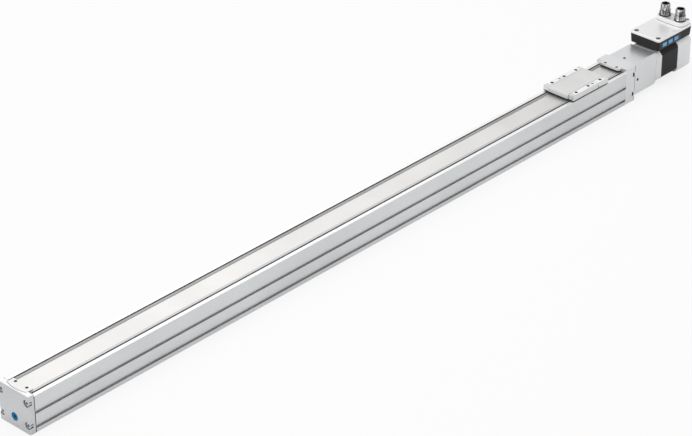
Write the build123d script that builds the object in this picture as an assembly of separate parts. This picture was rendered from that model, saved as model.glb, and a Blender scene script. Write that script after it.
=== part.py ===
from build123d import *
import math
import os

# Ball screw linear axis, size 45, with a built-on stepper motor and drive electronics.
# All sizes are millimetres. +X runs along the axis from the near cap to the motor, +Z is up and
# the origin is the middle of the profile's flat underside. The slide is drawn where it stands
# near the drive end and travels towards -X.

# Lengths along the axis
STROKE = 800.0
SLIDE_L = 64.0
NEAR_RESERVE = 22.5
DRIVE_RESERVE = 35.5
PROFILE_L = STROKE + SLIDE_L + NEAR_RESERVE + DRIVE_RESERVE
X0 = -PROFILE_L / 2
X1 = PROFILE_L / 2
SLIDE_X = X1 - DRIVE_RESERVE - SLIDE_L / 2

# Gaps shared by the fits
FIT = 0.05
RUN = 0.3
SEAM = 0.3
STOP_GAP = 1.5
OVERCUT = 1.0

# Extruded profile
PROFILE_W = 45.0
PROFILE_H = 42.0
FLOOR_T = 4.0
WALL_T = 4.7
GAP_Y = PROFILE_W / 2 - WALL_T
TOP_EDGE_R = 1.0
FOOT_EDGE_R = 0.5
SENSOR_SLOT_Z = 22.3
CLAMP_SLOT_Z = 5.9
SLOT_MOUTH = 2.1
SLOT_DEPTH = 3.3
SLOT_LIP = 1.5
SLOT_LEAD = 4.2
SLOT_LEAD_DEPTH = 0.9

# Fixed cover over the open top: a carrier extrusion with a steel strip let into it
LEG_T = 1.6
LEG_OUT = GAP_Y - RUN
LEG_IN = LEG_OUT - LEG_T
CARRIER_Y = LEG_IN - RUN
CARRIER_T = 3.5
CARRIER_TENON = 3.0
CARRIER_HOLLOW = 1.2
STRIP_EDGE = 3.2
STRIP_W = 2 * (CARRIER_Y - STRIP_EDGE)
STRIP_T = 0.3
STRIP_SINK = 0.5
STRIP_TOP = PROFILE_H - STRIP_SINK

# Screw and motor axis, ball screw and its bearings
AXIS_Z = 24.7
SCREW_D = 10.0
FLOAT_D, FLOAT_OD, FLOAT_W = 6.0, 13.0, 5.0
FIXED_D, FIXED_OD, FIXED_W = 8.0, 22.0, 7.0
TAIL_D = 6.0
RETAINER_OD, RETAINER_ID, RETAINER_T = 26.0, 19.0, 2.0
LOCK_NUT_D, LOCK_NUT_L = 17.0, 5.5

# Guide rail and runner
RAIL_W, RAIL_H = 12.0, 6.5
RAIL_SINK = 0.5
RAIL_END_GAP = 2.0
RAIL_PITCH = 60.0
RAIL_Z = FLOOR_T - RAIL_SINK
RUNNER_W, RUNNER_H, RUNNER_L = 29.0, 10.5, 28.0
RUNNER_CAP_L = 5.5
RUNNER_LIFT = 2.0
RUNNER_TOP = RAIL_Z + RUNNER_H
RUNNER_HOLE_X, RUNNER_HOLE_Y = 8.0, 12.0

# Slide: outer rails, legs through the two gaps and the inner block with the nut
BLOCK_CLEAR = 1.0
BLOCK_TOP = PROFILE_H - CARRIER_T - BLOCK_CLEAR
NUT_END_ROOM = 8.0
SLIDE_LIFT = 1.0
RAIL_UNDER = PROFILE_H + SLIDE_LIFT
SLIDE_TOP = 50.0
PAD_H = 0.3
PAD_MARGIN = 4.7
RAIL_WEB = 1.0
SLIDE_IN = LEG_IN - RAIL_WEB
PAD_EDGE_IN, PAD_EDGE_OUT = 0.5, 0.7
PAD_IN, PAD_OUT = SLIDE_IN + PAD_EDGE_IN, PROFILE_W / 2 - PAD_EDGE_OUT
HOLE_EDGE = 4.5
HOLE_X, HOLE_Y = 22.0, PROFILE_W / 2 - HOLE_EDGE
HOLE_D, HOLE_DEPTH = 4.0, 6.5
DOWEL_X, DOWEL_D, DOWEL_DEPTH = 8.0, 3.0, 4.5
ISLAND_HALF = 3.6
ISLAND_GROOVE = 0.8
POCKET_L, POCKET_LOW, POCKET_H, POCKET_DEPTH = 29.0, 1.0, 2.8, 1.0
COVER_OVER = 1.6
COVER_UNDER = 43.6
COVER_LIP_H = 1.4
BULLNOSE_R = 2.6
WIPER_L, WIPER_INSET = 6.0, 5.0
WIPER_GAP = 0.1

# Ball nut
NUT_D, NUT_L = 18.0, 30.0
NUT_FLANGE_D, NUT_FLANGE_SQ, NUT_FLANGE_T = 27.0, 21.0, 6.0
NUT_PCD = 22.0
NUT_BORE_GAP = 0.08

# End screws, the same at both ends of the profile
END_INSET = 3.5
END_Y = PROFILE_W / 2 - END_INSET
END_LOW, END_HIGH = 9.5, 35.5
END_CBORE_R = 4.1
M4_D, M4_HEAD_D, M4_HEAD_H, M4_KEY = 4.0, 7.0, 3.2, 3.0
M3_D, M3_HEAD_D, M3_HEAD_H, M3_KEY = 3.0, 5.5, 3.0, 2.5
M2_D, M2_HEAD_D, M2_HEAD_H = 2.0, 3.4, 1.2
KEY_DEPTH = 1.6
END_GRIP = 12.0

# Near end cap, its plug and its strip clamp
CAP_T = 7.5
CAP_TOP = 44.0
CAP_CBORE_DEPTH = 4.3
CAP_EDGE = 0.8
SEAM_EDGE = 0.5
PLUG_D, PLUG_Z, PLUG_L, PLUG_SINK = 9.2, 12.0, 4.0, 0.3
PLUG_KEY = 3.0
CLAMP_EDGE = 1.3
CLAMP_Y = CARRIER_Y - CLAMP_EDGE
CLAMP_SIDE_X, CLAMP_ARC_X, CLAMP_REACH = 2.6, 5.2, 6.0
CLAMP_SCREW_X, CLAMP_SCREW_Y = 3.5, 8.3
CLAMP_SEAM = 0.15

# Drive cover
COVER_T = 17.4
COVER_TOP = 46.4
COVER_CBORE_R, COVER_CBORE_DEPTH = 4.5, 5.0
COVER_EDGE = 1.0
COVER_WALL = 1.4
TONGUE_EDGE = 1.1
TONGUE_L, TONGUE_Y, TONGUE_T = 5.5, CARRIER_Y - TONGUE_EDGE, 3.4
TONGUE_CHAMFER = 2.0
TONGUE_SCREW_X, TONGUE_SCREW_Y = 1.7, 8.5
PAD_BACK = 2.2
HOUSING_SCREW_R, HOUSING_SCREW_ANGLE = 17.8, 15.0
HOUSING_GRIP = 6.0

# Coupling housing and coupling
MOTOR_SQ = 42.3
HOUSING_L, HOUSING_CHAMFER = 42.2, 3.0
HOUSING_BORE = 30.0
WEB_T = 3.0
ACCESS_D, ACCESS_X = 2.6, 6.6
COUPLING_D, HUB_L, SPIDER_L = 25.0, 13.5, 6.0
HUB_START = 4.0
JAW_BORE = 11.0
JAW_SPAN = 54.0
HUB_SLOT = 1.0

# Motor
BOLT_SQ = 31.0
PILOT_D, PILOT_L = 22.0, 2.0
FLANGE_T, FLANGE_CHAMFER = 11.4, 7.0
STATOR_L, STATOR_CHAMFER = 31.1, 7.2
BELL_L, BELL_CHAMFER = 25.9, 4.5
BELL_EDGE_R = 1.2
SHAFT_D, SHAFT_OUT = 5.0, 20.0
ROTOR_D, AIR_GAP = 22.0, 0.4
MOTOR_BEARING_OD, MOTOR_BEARING_W = 16.0, 5.0
BELL_WALL = 6.0
BOLT_GRIP = 5.0
SHAFT_GAP = 0.3

# Stations along the drive end
X_HOUSING = X1 + COVER_T
X_FLANGE = X_HOUSING + HOUSING_L
X_STATOR = X_FLANGE + FLANGE_T
X_BELL = X_STATOR + STATOR_L
X_END = X_BELL + BELL_L
X_LOCK = X_HOUSING - RETAINER_T
X_HUB = X_HOUSING + HUB_START
X_SPIDER = X_HUB + HUB_L
X_HUB2 = X_SPIDER + SPIDER_L

# Electronics box on the motor
BOX_FRONT_GAP, BOX_REAR_GAP = 1.9, 1.0
BOX_Y, BOX_DRAFT = 21.8, 1.0
BOX_BOTTOM, BOX_TOP = 47.0, 58.7
BOX_R, BOX_WALL, BOX_FLOOR = 3.0, 2.4, 1.6
FOOT_L, FOOT_Y = 40.0, 13.0
GASKET_T, GASKET_INSET, GASKET_W = 0.4, 0.7, 1.2
LID_T, LID_EDGE_R = 2.5, 0.8
PLATFORM_FRONT, PLATFORM_H, PLATFORM_Y, PLATFORM_R = 20.8, 5.4, 20.4, 8.0
PLATFORM_SLOPE = 8.0
LID_WALL, LID_ROOF = 1.3, 2.4
LID_HOLE_IN = 5.6
REAR_HOLE_X, REAR_HOLE_Y = 3.7, 4.6
POST_R = 2.8
LID_SCREW_L = 9.0
LID_SCREW_D, LID_HEAD_D, LID_HEAD_H, LID_KEY = 2.5, 4.0, 1.6, 1.5
LID_SEAT_R, REAR_SEAT_R = 3.0, 2.2
BOARD_T, BOARD_Z, BOARD_GAP = 1.6, 49.4, 1.0
PLUG_X_FROM_END, CONNECTOR_Y = 11.0, 11.2

# Round M12 panel connectors
M12_R, M12_BORE_R, M12_TOP = 6.0, 4.3, 15.0
M12_LEAD = 0.9
M12_SEAT_R, M12_SEAT_H = 6.9, 2.0
M12_HEX_AF, M12_HEX_H = 13.0, 5.0
M12_NECK_R, M12_NECK_L, M12_NECK_BORE_R = 4.6, 6.0, 3.8
M12_INSERT_LOW, M12_INSERT_TOP = 1.0, 7.0
M12_NUT_AF, M12_NUT_H = 11.5, 2.2

# Key panel in the box's side
PANEL_X_FROM_FRONT, PANEL_L, PANEL_T = 4.5, 40.0, 0.8
PANEL_LOW, PANEL_HIGH = 48.6, 57.4
KEY_X_FROM_FRONT, KEY_PITCH = 12.3, 11.4
KEY_L, KEY_H, KEY_Z = 9.4, 6.4, 53.0
KEY_GAP, KEY_PROUD, KEY_TRAVEL = 0.2, 0.3, 0.4
KEY_STEM = 3.0
KEY_RIM = 0.8
SWITCH_T = 0.8

X_BOX = X_FLANGE + BOX_FRONT_GAP
X_BOX_END = X_END - BOX_REAR_GAP
BOX_L = X_BOX_END - X_BOX
X_BOX_MID = (X_BOX + X_BOX_END) / 2
LID_Z = BOX_TOP + GASKET_T
LID_TOP = LID_Z + LID_T
PLATFORM_TOP = LID_TOP + PLATFORM_H
CONNECTOR_X = X_BOX_END - PLUG_X_FROM_END

# Buffers at the ends of the stroke
BUFFER_Z = 31.0
BUFFER_GAP, BUFFER_NUT_GAP = 0.9, 0.4
BUFFER_D = GAP_Y - BUFFER_GAP - BUFFER_NUT_GAP - NUT_FLANGE_SQ / 2
BUFFER_Y = GAP_Y - BUFFER_GAP - BUFFER_D / 2

# Finish colours of the STEP files
COLOURS = {"alu": Color(0.80, 0.80, 0.81), "steel": Color(0.62, 0.63, 0.65),
           "black": Color(0.10, 0.10, 0.11), "blue": Color(0.02, 0.38, 0.60),
           "green": Color(0.05, 0.30, 0.16), "plastic": Color(0.84, 0.84, 0.84)}


def block(x, y, z):
    """A box between the low and high values of each axis."""
    size = [high - low for low, high in (x, y, z)]
    centre = [(low + high) / 2 for low, high in (x, y, z)]
    return Pos(*centre) * Box(*size)


def rod_x(start, end, radius, y=0.0, z=AXIS_Z):
    """A cylinder along X."""
    return Pos((start + end) / 2, y, z) * Rot(0, 90, 0) * Cylinder(radius, end - start)


def rod_y(start, end, radius, x, z):
    """A cylinder along Y."""
    return Pos(x, (start + end) / 2, z) * Rot(90, 0, 0) * Cylinder(radius, end - start)


def rod_z(start, end, radius, x, y):
    """A cylinder along Z."""
    return Pos(x, y, (start + end) / 2) * Cylinder(radius, end - start)


def prism_x(sketch, start, end):
    """A Y-Z section drawn out along X."""
    return extrude(Plane.YZ.offset(start) * sketch, amount=end - start)


def prism_z(sketch, start, end):
    """An X-Y outline drawn up along Z."""
    return extrude(Plane.XY.offset(start) * sketch, amount=end - start)


def both_sides(half):
    """A closed section whose left half mirrors the given right half, listed from the middle."""
    left = [(-y, z) for y, z in reversed(half) if y > 0]
    return make_face(Polyline(*half, *left, close=True))


def square_section(chamfer_size):
    """The motor's square section with its corners cut off, centred on the screw axis."""
    sketch = Rectangle(MOTOR_SQ, MOTOR_SQ)
    return Pos(0, AXIS_Z) * chamfer(sketch.vertices(), chamfer_size)


def bolt_square():
    """Y and Z of the motor's four bolts."""
    half = BOLT_SQ / 2
    return [(y, AXIS_Z + z) for y in (-half, half) for z in (-half, half)]


def end_points():
    """Y and Z of the four screws at each end of the profile."""
    return [(y, z) for y in (-END_Y, END_Y) for z in (END_LOW, END_HIGH)]


def socket_screw(head_d, head_h, shank_d, length, key):
    """A socket head screw pointing down -Z, its head standing on the XY plane."""
    head = Pos(0, 0, head_h / 2) * Cylinder(head_d / 2, head_h)
    head = chamfer(head.edges().group_by(Axis.Z)[-1], head_h / 12)
    shank = Pos(0, 0, -length / 2) * Cylinder(shank_d / 2, length)
    hexagon = RegularPolygon(key / 2, 6, major_radius=False)
    socket = prism_z(hexagon, head_h - KEY_DEPTH * head_h / M4_HEAD_H, head_h + OVERCUT)
    return head + shank - socket


def flat_screw(head_d, head_h, shank_d, length):
    """A small countersunk screw pointing down -Z with its head flush with the XY plane."""
    head = Pos(0, 0, -head_h / 2) * Cone(shank_d / 2, head_d / 2, head_h)
    shank = Pos(0, 0, -length / 2) * Cylinder(shank_d / 2, length)
    socket = prism_z(RegularPolygon(shank_d / 4, 6, major_radius=False), -head_h, OVERCUT)
    return head + shank - socket


def group(solids, label):
    """Like solids kept apart in one node."""
    return Compound(label=label, children=list(solids))


def slot_cut(side, centre):
    """One side slot: a narrow mouth under a long curved lead-in, widening behind its lip."""
    face = PROFILE_W / 2
    low, high = centre - SLOT_MOUTH / 2, centre + SLOT_MOUTH / 2
    radius = (SLOT_LEAD ** 2 + SLOT_LEAD_DEPTH ** 2) / (2 * SLOT_LEAD_DEPTH)
    half = math.asin(SLOT_LEAD / radius) / 2
    lead = [(face, high + SLOT_LEAD),
            (face - radius * (1 - math.cos(half)), high + SLOT_LEAD - radius * math.sin(half)),
            (face - SLOT_LEAD_DEPTH, high)]
    rest = [(face - SLOT_LEAD_DEPTH, high), (face - SLOT_DEPTH, high),
            (face - SLOT_DEPTH, low - SLOT_LIP / 2), (face - SLOT_LIP, low - SLOT_LIP / 2),
            (face - SLOT_LIP, low), (face + OVERCUT, low), (face + OVERCUT, high + SLOT_LEAD),
            (face, high + SLOT_LEAD)]
    arc = ThreePointArc(*[(side * y, z) for y, z in lead])
    return make_face(arc + Polyline(*[(side * y, z) for y, z in rest]))


def profile():
    """The channel-shaped body extrusion, tapped at its ends and along its floor."""
    section = Pos(0, PROFILE_H / 2) * Rectangle(PROFILE_W, PROFILE_H)
    corners = section.vertices().sort_by(Axis.Y)
    section = fillet(corners[2:], TOP_EDGE_R)
    section = fillet(section.vertices().group_by(Axis.Y)[0], FOOT_EDGE_R)
    low_y = RUNNER_W / 2 + 0.8
    shoulder = RUNNER_TOP - 2.0
    section -= both_sides([(0, FLOOR_T), (low_y, FLOOR_T), (low_y, shoulder),
                           (GAP_Y, shoulder + GAP_Y - low_y), (GAP_Y, PROFILE_H + OVERCUT),
                           (0, PROFILE_H + OVERCUT)])
    section -= Pos(0, FLOOR_T) * Rectangle(RAIL_W, 2 * RAIL_SINK)
    for side in (-1, 1):
        for centre in (SENSOR_SLOT_Z, CLAMP_SLOT_Z):
            section -= slot_cut(side, centre)
    body = prism_x(section, X0, X1)
    for y, z in end_points():
        body -= rod_x(X0 - OVERCUT, X0 + END_GRIP + OVERCUT, M4_D / 2 + FIT, y, z)
        body -= rod_x(X1 - END_GRIP - OVERCUT, X1 + OVERCUT, M4_D / 2 + FIT, y, z)
    for x in rail_screw_stations():
        body -= rod_z(RAIL_SINK, FLOOR_T + OVERCUT, M3_D / 2 + FIT, x, 0)
    return body


def rail_screw_stations():
    """X of the guide rail's screws, an even pitch centred on the profile."""
    count = int((PROFILE_L - RAIL_PITCH / 2) / RAIL_PITCH) + 1
    first = -RAIL_PITCH * (count - 1) / 2
    return [first + RAIL_PITCH * i for i in range(count)]


def guide_rail():
    """The ground steel rail with a ball groove in each flank and counterbored holes."""
    section = Pos(0, RAIL_Z + RAIL_H / 2) * Rectangle(RAIL_W, RAIL_H)
    groove_r = RAIL_H / 6
    for side in (-1, 1):
        section -= Pos(side * RAIL_W / 2, RAIL_Z + RAIL_H * 0.62) * Circle(groove_r)
    rail = prism_x(section, X0 + RAIL_END_GAP, X1 - RAIL_END_GAP)
    top = RAIL_Z + RAIL_H
    for x in rail_screw_stations():
        rail -= rod_z(RAIL_Z - OVERCUT, top + OVERCUT, M3_D / 2 + FIT, x, 0)
        rail -= rod_z(top - M3_HEAD_H - 2 * FIT, top + OVERCUT, M3_HEAD_D / 2 + FIT, x, 0)
    return rail


def rail_screws():
    """The row of screws that hold the rail down."""
    seat = RAIL_Z + RAIL_H - M3_HEAD_H - 2 * FIT
    head = rod_z(seat, seat + M3_HEAD_H, M3_HEAD_D / 2, 0, 0)
    head += rod_z(RAIL_SINK + FIT, seat, M3_D / 2, 0, 0)
    return group([Pos(x, 0, 0) * head for x in rail_screw_stations()], "rail_screws")


def runner_section():
    """The saddle that straddles the rail."""
    half, slot = RUNNER_W / 2, RAIL_W / 2 + RUN
    low, roof = RAIL_Z + RUNNER_LIFT, RAIL_Z + RAIL_H + RUN
    return both_sides([(0, roof), (slot, roof), (slot, low), (half, low),
                       (half, RUNNER_TOP), (0, RUNNER_TOP)])


def runner_x():
    """X of the runner, under the middle of the inner block."""
    return SLIDE_X - NUT_END_ROOM / 2


def runner_holes():
    """X and Y of the runner's four screws."""
    return [(runner_x() + x, y) for x in (-RUNNER_HOLE_X, RUNNER_HOLE_X)
            for y in (-RUNNER_HOLE_Y, RUNNER_HOLE_Y)]


def runner_block():
    """The steel body of the guide's runner, tapped for the slide's screws."""
    body = prism_x(runner_section(), runner_x() - RUNNER_L / 2, runner_x() + RUNNER_L / 2)
    for x, y in runner_holes():
        body -= rod_z(RAIL_Z + RUNNER_LIFT + OVERCUT, RUNNER_TOP + OVERCUT, M3_D / 2 + FIT, x, y)
    return body


def runner_caps():
    """The two plastic end caps that turn the balls round."""
    half = RUNNER_L / 2
    section = offset(runner_section(), -RUN / 2)
    ends = [(-half - RUNNER_CAP_L, -half), (half, half + RUNNER_CAP_L)]
    return group([prism_x(section, runner_x() + a, runner_x() + b) for a, b in ends], "runner_caps")


def runner_seat():
    """Z where the heads of the runner's screws sit, deep in the inner block."""
    return RUNNER_TOP + M4_D


def runner_screws():
    """Four screws from the inner block into the runner."""
    length = runner_seat() - RUNNER_TOP + 4.5
    screw = socket_screw(M3_HEAD_D, M3_HEAD_H, M3_D, length, M3_KEY)
    return group([Pos(x, y, runner_seat()) * screw for x, y in runner_holes()], "runner_screws")


def nut_face():
    """X of the inner block's end that the nut's flange bolts to."""
    return SLIDE_X + SLIDE_L / 2 - NUT_END_ROOM


def nut_bolts():
    """Y and Z of the nut's four screws."""
    reach = NUT_PCD / 2 * math.sin(math.radians(45))
    return [(y, AXIS_Z + z) for y in (-reach, reach) for z in (-reach, reach)]


def slide():
    """The aluminium slide: outer rails, two thin legs and the inner block in one piece."""
    outer = PROFILE_W / 2
    under = LEG_OUT - RUNNER_W / 2
    rail_top = SLIDE_TOP - PAD_H
    section = both_sides([
        (0, RUNNER_TOP), (RUNNER_W / 2, RUNNER_TOP), (LEG_OUT, RUNNER_TOP + under),
        (LEG_OUT, RAIL_UNDER), (outer, RAIL_UNDER), (outer, rail_top - 0.6), (outer - 0.6, rail_top),
        (SLIDE_IN, rail_top), (SLIDE_IN, RAIL_UNDER), (LEG_IN, RAIL_UNDER), (LEG_IN, BLOCK_TOP),
        (0, BLOCK_TOP)])
    start, end = SLIDE_X - SLIDE_L / 2, SLIDE_X + SLIDE_L / 2
    body = prism_x(section, start, end)
    body -= block((nut_face(), end + OVERCUT), (-outer, outer), (0, BLOCK_TOP))
    body = slide_pads(body)
    for side in (-1, 1):
        for x in (-HOLE_X, 0, HOLE_X):
            body -= rod_z(SLIDE_TOP - HOLE_DEPTH, SLIDE_TOP + OVERCUT, HOLE_D / 2,
                          SLIDE_X + x, side * HOLE_Y)
        body -= rod_z(SLIDE_TOP - DOWEL_DEPTH, SLIDE_TOP + OVERCUT, DOWEL_D / 2,
                      SLIDE_X - side * DOWEL_X, side * HOLE_Y)
        wall = sorted((side * (outer - POCKET_DEPTH), side * (outer + OVERCUT)))
        low = RAIL_UNDER + POCKET_LOW
        body -= block((SLIDE_X - POCKET_L / 2, SLIDE_X + POCKET_L / 2), wall, (low, low + POCKET_H))
    body -= rod_x(nut_face() - NUT_L - OVERCUT, nut_face() + OVERCUT, NUT_D / 2 + FIT)
    body -= rod_x(start - OVERCUT, nut_face(), SCREW_D / 2 + OVERCUT)
    for y, z in nut_bolts():
        body -= rod_x(nut_face() - M3_HEAD_D * 1.5, nut_face() + OVERCUT, M3_D / 2 + FIT, y, z)
    for x, y in runner_holes():
        body -= rod_z(RUNNER_TOP - OVERCUT, BLOCK_TOP + OVERCUT, M3_D / 2 + FIT, x, y)
        body -= rod_z(runner_seat(), BLOCK_TOP + OVERCUT, M3_HEAD_D / 2 + FIT, x, y)
    return body


def slide_pads(body):
    """The raised machined pads on the slide's rails, with an island round each dowel hole."""
    reach = SLIDE_L / 2 - PAD_MARGIN
    heights = (SLIDE_TOP - PAD_H, SLIDE_TOP)
    for side in (-1, 1):
        rows = sorted((side * PAD_IN, side * PAD_OUT))
        dowel = -side * DOWEL_X
        edges = [-reach, dowel - ISLAND_HALF, dowel + ISLAND_HALF, reach]
        for start, end in zip(edges, edges[1:]):
            trim_start = ISLAND_GROOVE if start > -reach else 0
            body += block((SLIDE_X + start + trim_start, SLIDE_X + end), rows, heights)
    return body


def slide_cover():
    """The plastic cover between the rails, with rounded ends, under which the strip runs."""
    half_l = SLIDE_L / 2 + COVER_OVER
    half_y = SLIDE_IN - SEAM
    top = SLIDE_TOP - PAD_H / 2
    body = block((SLIDE_X - half_l, SLIDE_X + half_l), (-half_y, half_y), (COVER_UNDER, top))
    ends = body.edges().filter_by(Axis.Y).group_by(Axis.Z)[-1]
    body = fillet(ends, BULLNOSE_R)
    body += block((SLIDE_X - SLIDE_L / 2 + 1.0, SLIDE_X + SLIDE_L / 2 - 1.0),
                  (-SLIDE_IN, SLIDE_IN), (COVER_UNDER, COVER_UNDER + COVER_LIP_H))
    return body


def wiper(x):
    """A felt wiper under one end of the slide's cover, running on the strip."""
    half = STRIP_W / 2 - RUN
    return block((x - WIPER_L / 2, x + WIPER_L / 2), (-half, half),
                 (STRIP_TOP + WIPER_GAP, COVER_UNDER))


def ball_nut():
    """The flanged nut, its flange squared off to clear the runner."""
    body = rod_x(nut_face() - NUT_L, nut_face(), NUT_D / 2)
    flange = Rectangle(NUT_FLANGE_SQ, NUT_FLANGE_SQ) & Circle(NUT_FLANGE_D / 2)
    body += prism_x(Pos(0, AXIS_Z) * flange, nut_face(), nut_face() + NUT_FLANGE_T)
    body -= rod_x(nut_face() - NUT_L - OVERCUT, nut_face() + NUT_FLANGE_T + OVERCUT,
                  SCREW_D / 2 + NUT_BORE_GAP)
    for y, z in nut_bolts():
        body -= rod_x(nut_face() - OVERCUT, nut_face() + NUT_FLANGE_T + OVERCUT,
                      M3_D / 2 + FIT, y, z)
    return body


def nut_screws():
    """Four screws through the nut's flange into the inner block."""
    screw = socket_screw(M3_HEAD_D, M3_HEAD_H, M3_D, NUT_FLANGE_T + 7.0, M3_KEY)
    seat = nut_face() + NUT_FLANGE_T
    return group([Pos(seat, y, z) * Rot(0, 90, 0) * screw for y, z in nut_bolts()], "nut_screws")


def cover_carrier():
    """The extrusion that closes the open top between the two gaps and carries the strip."""
    low = PROFILE_H - CARRIER_T
    section = Pos(0, low + CARRIER_T / 2) * Rectangle(2 * CARRIER_Y, CARRIER_T)
    section -= Pos(0, PROFILE_H) * Rectangle(STRIP_W + 2 * FIT, 2 * (STRIP_SINK + STRIP_T))
    section -= Pos(0, low) * Rectangle(STRIP_W - 3 * CARRIER_T / 2, 2 * CARRIER_HOLLOW)
    body = prism_x(section, X0 - CARRIER_TENON, X1 + CARRIER_TENON)
    for x, y in clamp_screw_points() + tongue_screw_points():
        body -= rod_z(low - OVERCUT, PROFILE_H, M2_D / 2 + FIT, x, y)
    return body


def cover_strip():
    """The stainless strip let into the carrier."""
    body = block((X0 - CARRIER_TENON, X1 + CARRIER_TENON), (-STRIP_W / 2, STRIP_W / 2),
                 (STRIP_TOP - STRIP_T, STRIP_TOP))
    for x, y in clamp_screw_points() + tongue_screw_points():
        body -= rod_z(STRIP_TOP - OVERCUT, STRIP_TOP + OVERCUT, M2_D / 2 + FIT, x, y)
    return body


def clamp_screw_points():
    """X and Y of the near clamp's screws."""
    return [(X0 + CLAMP_SCREW_X, side * CLAMP_SCREW_Y) for side in (-1, 1)]


def tongue_screw_points():
    """X and Y of the screws in the drive cover's tongue."""
    return [(X1 - TONGUE_SCREW_X, side * TONGUE_SCREW_Y) for side in (-1, 1)]


def clamp_outline(grow):
    """The near clamp from above: straight sides and a bowed front edge."""
    side_x, arc_x = X0 - CLAMP_SIDE_X - grow, X0 - CLAMP_ARC_X - grow
    y, end = CLAMP_Y + grow, X0 + CLAMP_REACH
    front = ThreePointArc((side_x, y), (arc_x, 0), (side_x, -y))
    rest = Polyline((side_x, -y), (end, -y), (end, y), (side_x, y))
    return make_face(front + rest)


def strip_clamp():
    """The near clamp plate, let into the cap and pressing on the strip."""
    body = prism_z(clamp_outline(0), PROFILE_H, CAP_TOP)
    body += block((X0, X0 + CLAMP_REACH), (-STRIP_W / 2, STRIP_W / 2), (STRIP_TOP, PROFILE_H))
    for x, y in clamp_screw_points():
        body -= rod_z(STRIP_TOP - OVERCUT, CAP_TOP + OVERCUT, M2_D / 2 + FIT, x, y)
        body -= Pos(x, y, CAP_TOP - M2_HEAD_H / 2) * Cone(M2_D / 2 + FIT, M2_HEAD_D / 2 + FIT, M2_HEAD_H)
    return body


def strip_clamp_screws():
    """The two small screws of the near clamp."""
    length = CAP_TOP - PROFILE_H + CARRIER_T
    screw = flat_screw(M2_HEAD_D, M2_HEAD_H, M2_D, length)
    return group([Pos(x, y, CAP_TOP) * screw for x, y in clamp_screw_points()],
                 "strip_clamp_screws")


def end_screw_cuts(body, face, direction, radius, depth, thickness):
    """Clearance holes and counterbores for the end screws, broken out through the sides."""
    for y, z in end_points():
        ends = sorted((face - direction * OVERCUT, face + direction * (thickness + OVERCUT)))
        body -= rod_x(*ends, M4_D / 2 + FIT, y, z)
        ends = sorted((face - direction * OVERCUT, face + direction * depth))
        body -= rod_x(*ends, radius, y, z)
    return body


def end_cap():
    """The near end cap, with the floating bearing's seat and the hole for the service plug."""
    face = X0 - CAP_T
    body = block((face, X0), (-PROFILE_W / 2, PROFILE_W / 2), (0, CAP_TOP))
    upright = body.edges().filter_by(Axis.Z).group_by(Axis.X)[0]
    body = fillet(upright, CAP_EDGE * 2)
    body = chamfer(body.edges().filter_by(Axis.Z).group_by(Axis.X)[-1], SEAM_EDGE)
    body = chamfer(body.faces().sort_by(Axis.Z)[-1].edges().filter_by(Axis.X), CAP_EDGE)
    body -= prism_z(clamp_outline(CLAMP_SEAM), PROFILE_H, CAP_TOP + OVERCUT)
    body -= block((X0 - CARRIER_TENON, X0 + OVERCUT), (-CARRIER_Y - FIT, CARRIER_Y + FIT),
                  (PROFILE_H - CARRIER_T, PROFILE_H + FIT))
    body -= rod_x(X0 - FLOAT_W, X0 + OVERCUT, FLOAT_OD / 2 + FIT)
    body -= rod_x(X0 - FLOAT_W - OVERCUT / 2, X0, FLOAT_D / 2 + OVERCUT)
    body -= rod_x(face - OVERCUT, face + PLUG_SINK + PLUG_L, PLUG_D / 2 + FIT, 0, PLUG_Z)
    return end_screw_cuts(body, face, 1, END_CBORE_R, CAP_CBORE_DEPTH, CAP_T)


def end_cap_screws():
    """Four socket screws sunk in the near cap."""
    length = CAP_T - CAP_CBORE_DEPTH + END_GRIP
    screw = Rot(0, -90, 0) * socket_screw(M4_HEAD_D, M4_HEAD_H, M4_D, length, M4_KEY)
    seat = X0 - CAP_T + CAP_CBORE_DEPTH
    return group([Pos(seat, y, z) * screw for y, z in end_points()], "end_cap_screws")


def service_plug():
    """The coloured plug in the cap's service port, with a hexagon socket."""
    face = X0 - CAP_T + PLUG_SINK
    body = rod_x(face, face + PLUG_L, PLUG_D / 2, 0, PLUG_Z)
    body = chamfer(body.edges().group_by(Axis.X)[0], PLUG_SINK)
    hexagon = Pos(0, PLUG_Z) * RegularPolygon(PLUG_KEY / 2, 6, major_radius=False)
    return body - prism_x(hexagon, face - OVERCUT, face + PLUG_L / 2)


def bearing(start, bore, outer, width):
    """A closed deep groove bearing drawn as one ring with shallow shields."""
    body = rod_x(start, start + width, outer / 2) - rod_x(start - 1, start + width + 1, bore / 2 + FIT)
    mid, half = (bore + outer) / 4, (outer - bore) / 8
    shield = Pos(0, AXIS_Z) * (Circle(mid + half) - Circle(mid - half))
    body -= prism_x(shield, start - OVERCUT, start + width / 12)
    body -= prism_x(shield, start + width - width / 12, start + width + OVERCUT)
    return body


def fixed_bearings():
    """The paired bearings that hold the screw along its axis."""
    start = X_LOCK - 2 * FIXED_W
    pair = [bearing(start + i * FIXED_W, FIXED_D, FIXED_OD, FIXED_W) for i in range(2)]
    return group(pair, "fixed_bearings")


def bearing_retainer():
    """The threaded ring that shuts the fixed bearings in."""
    body = rod_x(X_LOCK, X_HOUSING, RETAINER_OD / 2)
    body -= rod_x(X_LOCK - OVERCUT, X_HOUSING + OVERCUT, RETAINER_ID / 2)
    for side in (-1, 1):
        body -= rod_x(X_LOCK + RETAINER_T / 2, X_HOUSING + OVERCUT, M2_D / 3,
                      side * (RETAINER_OD + RETAINER_ID) / 4)
    return body


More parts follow.
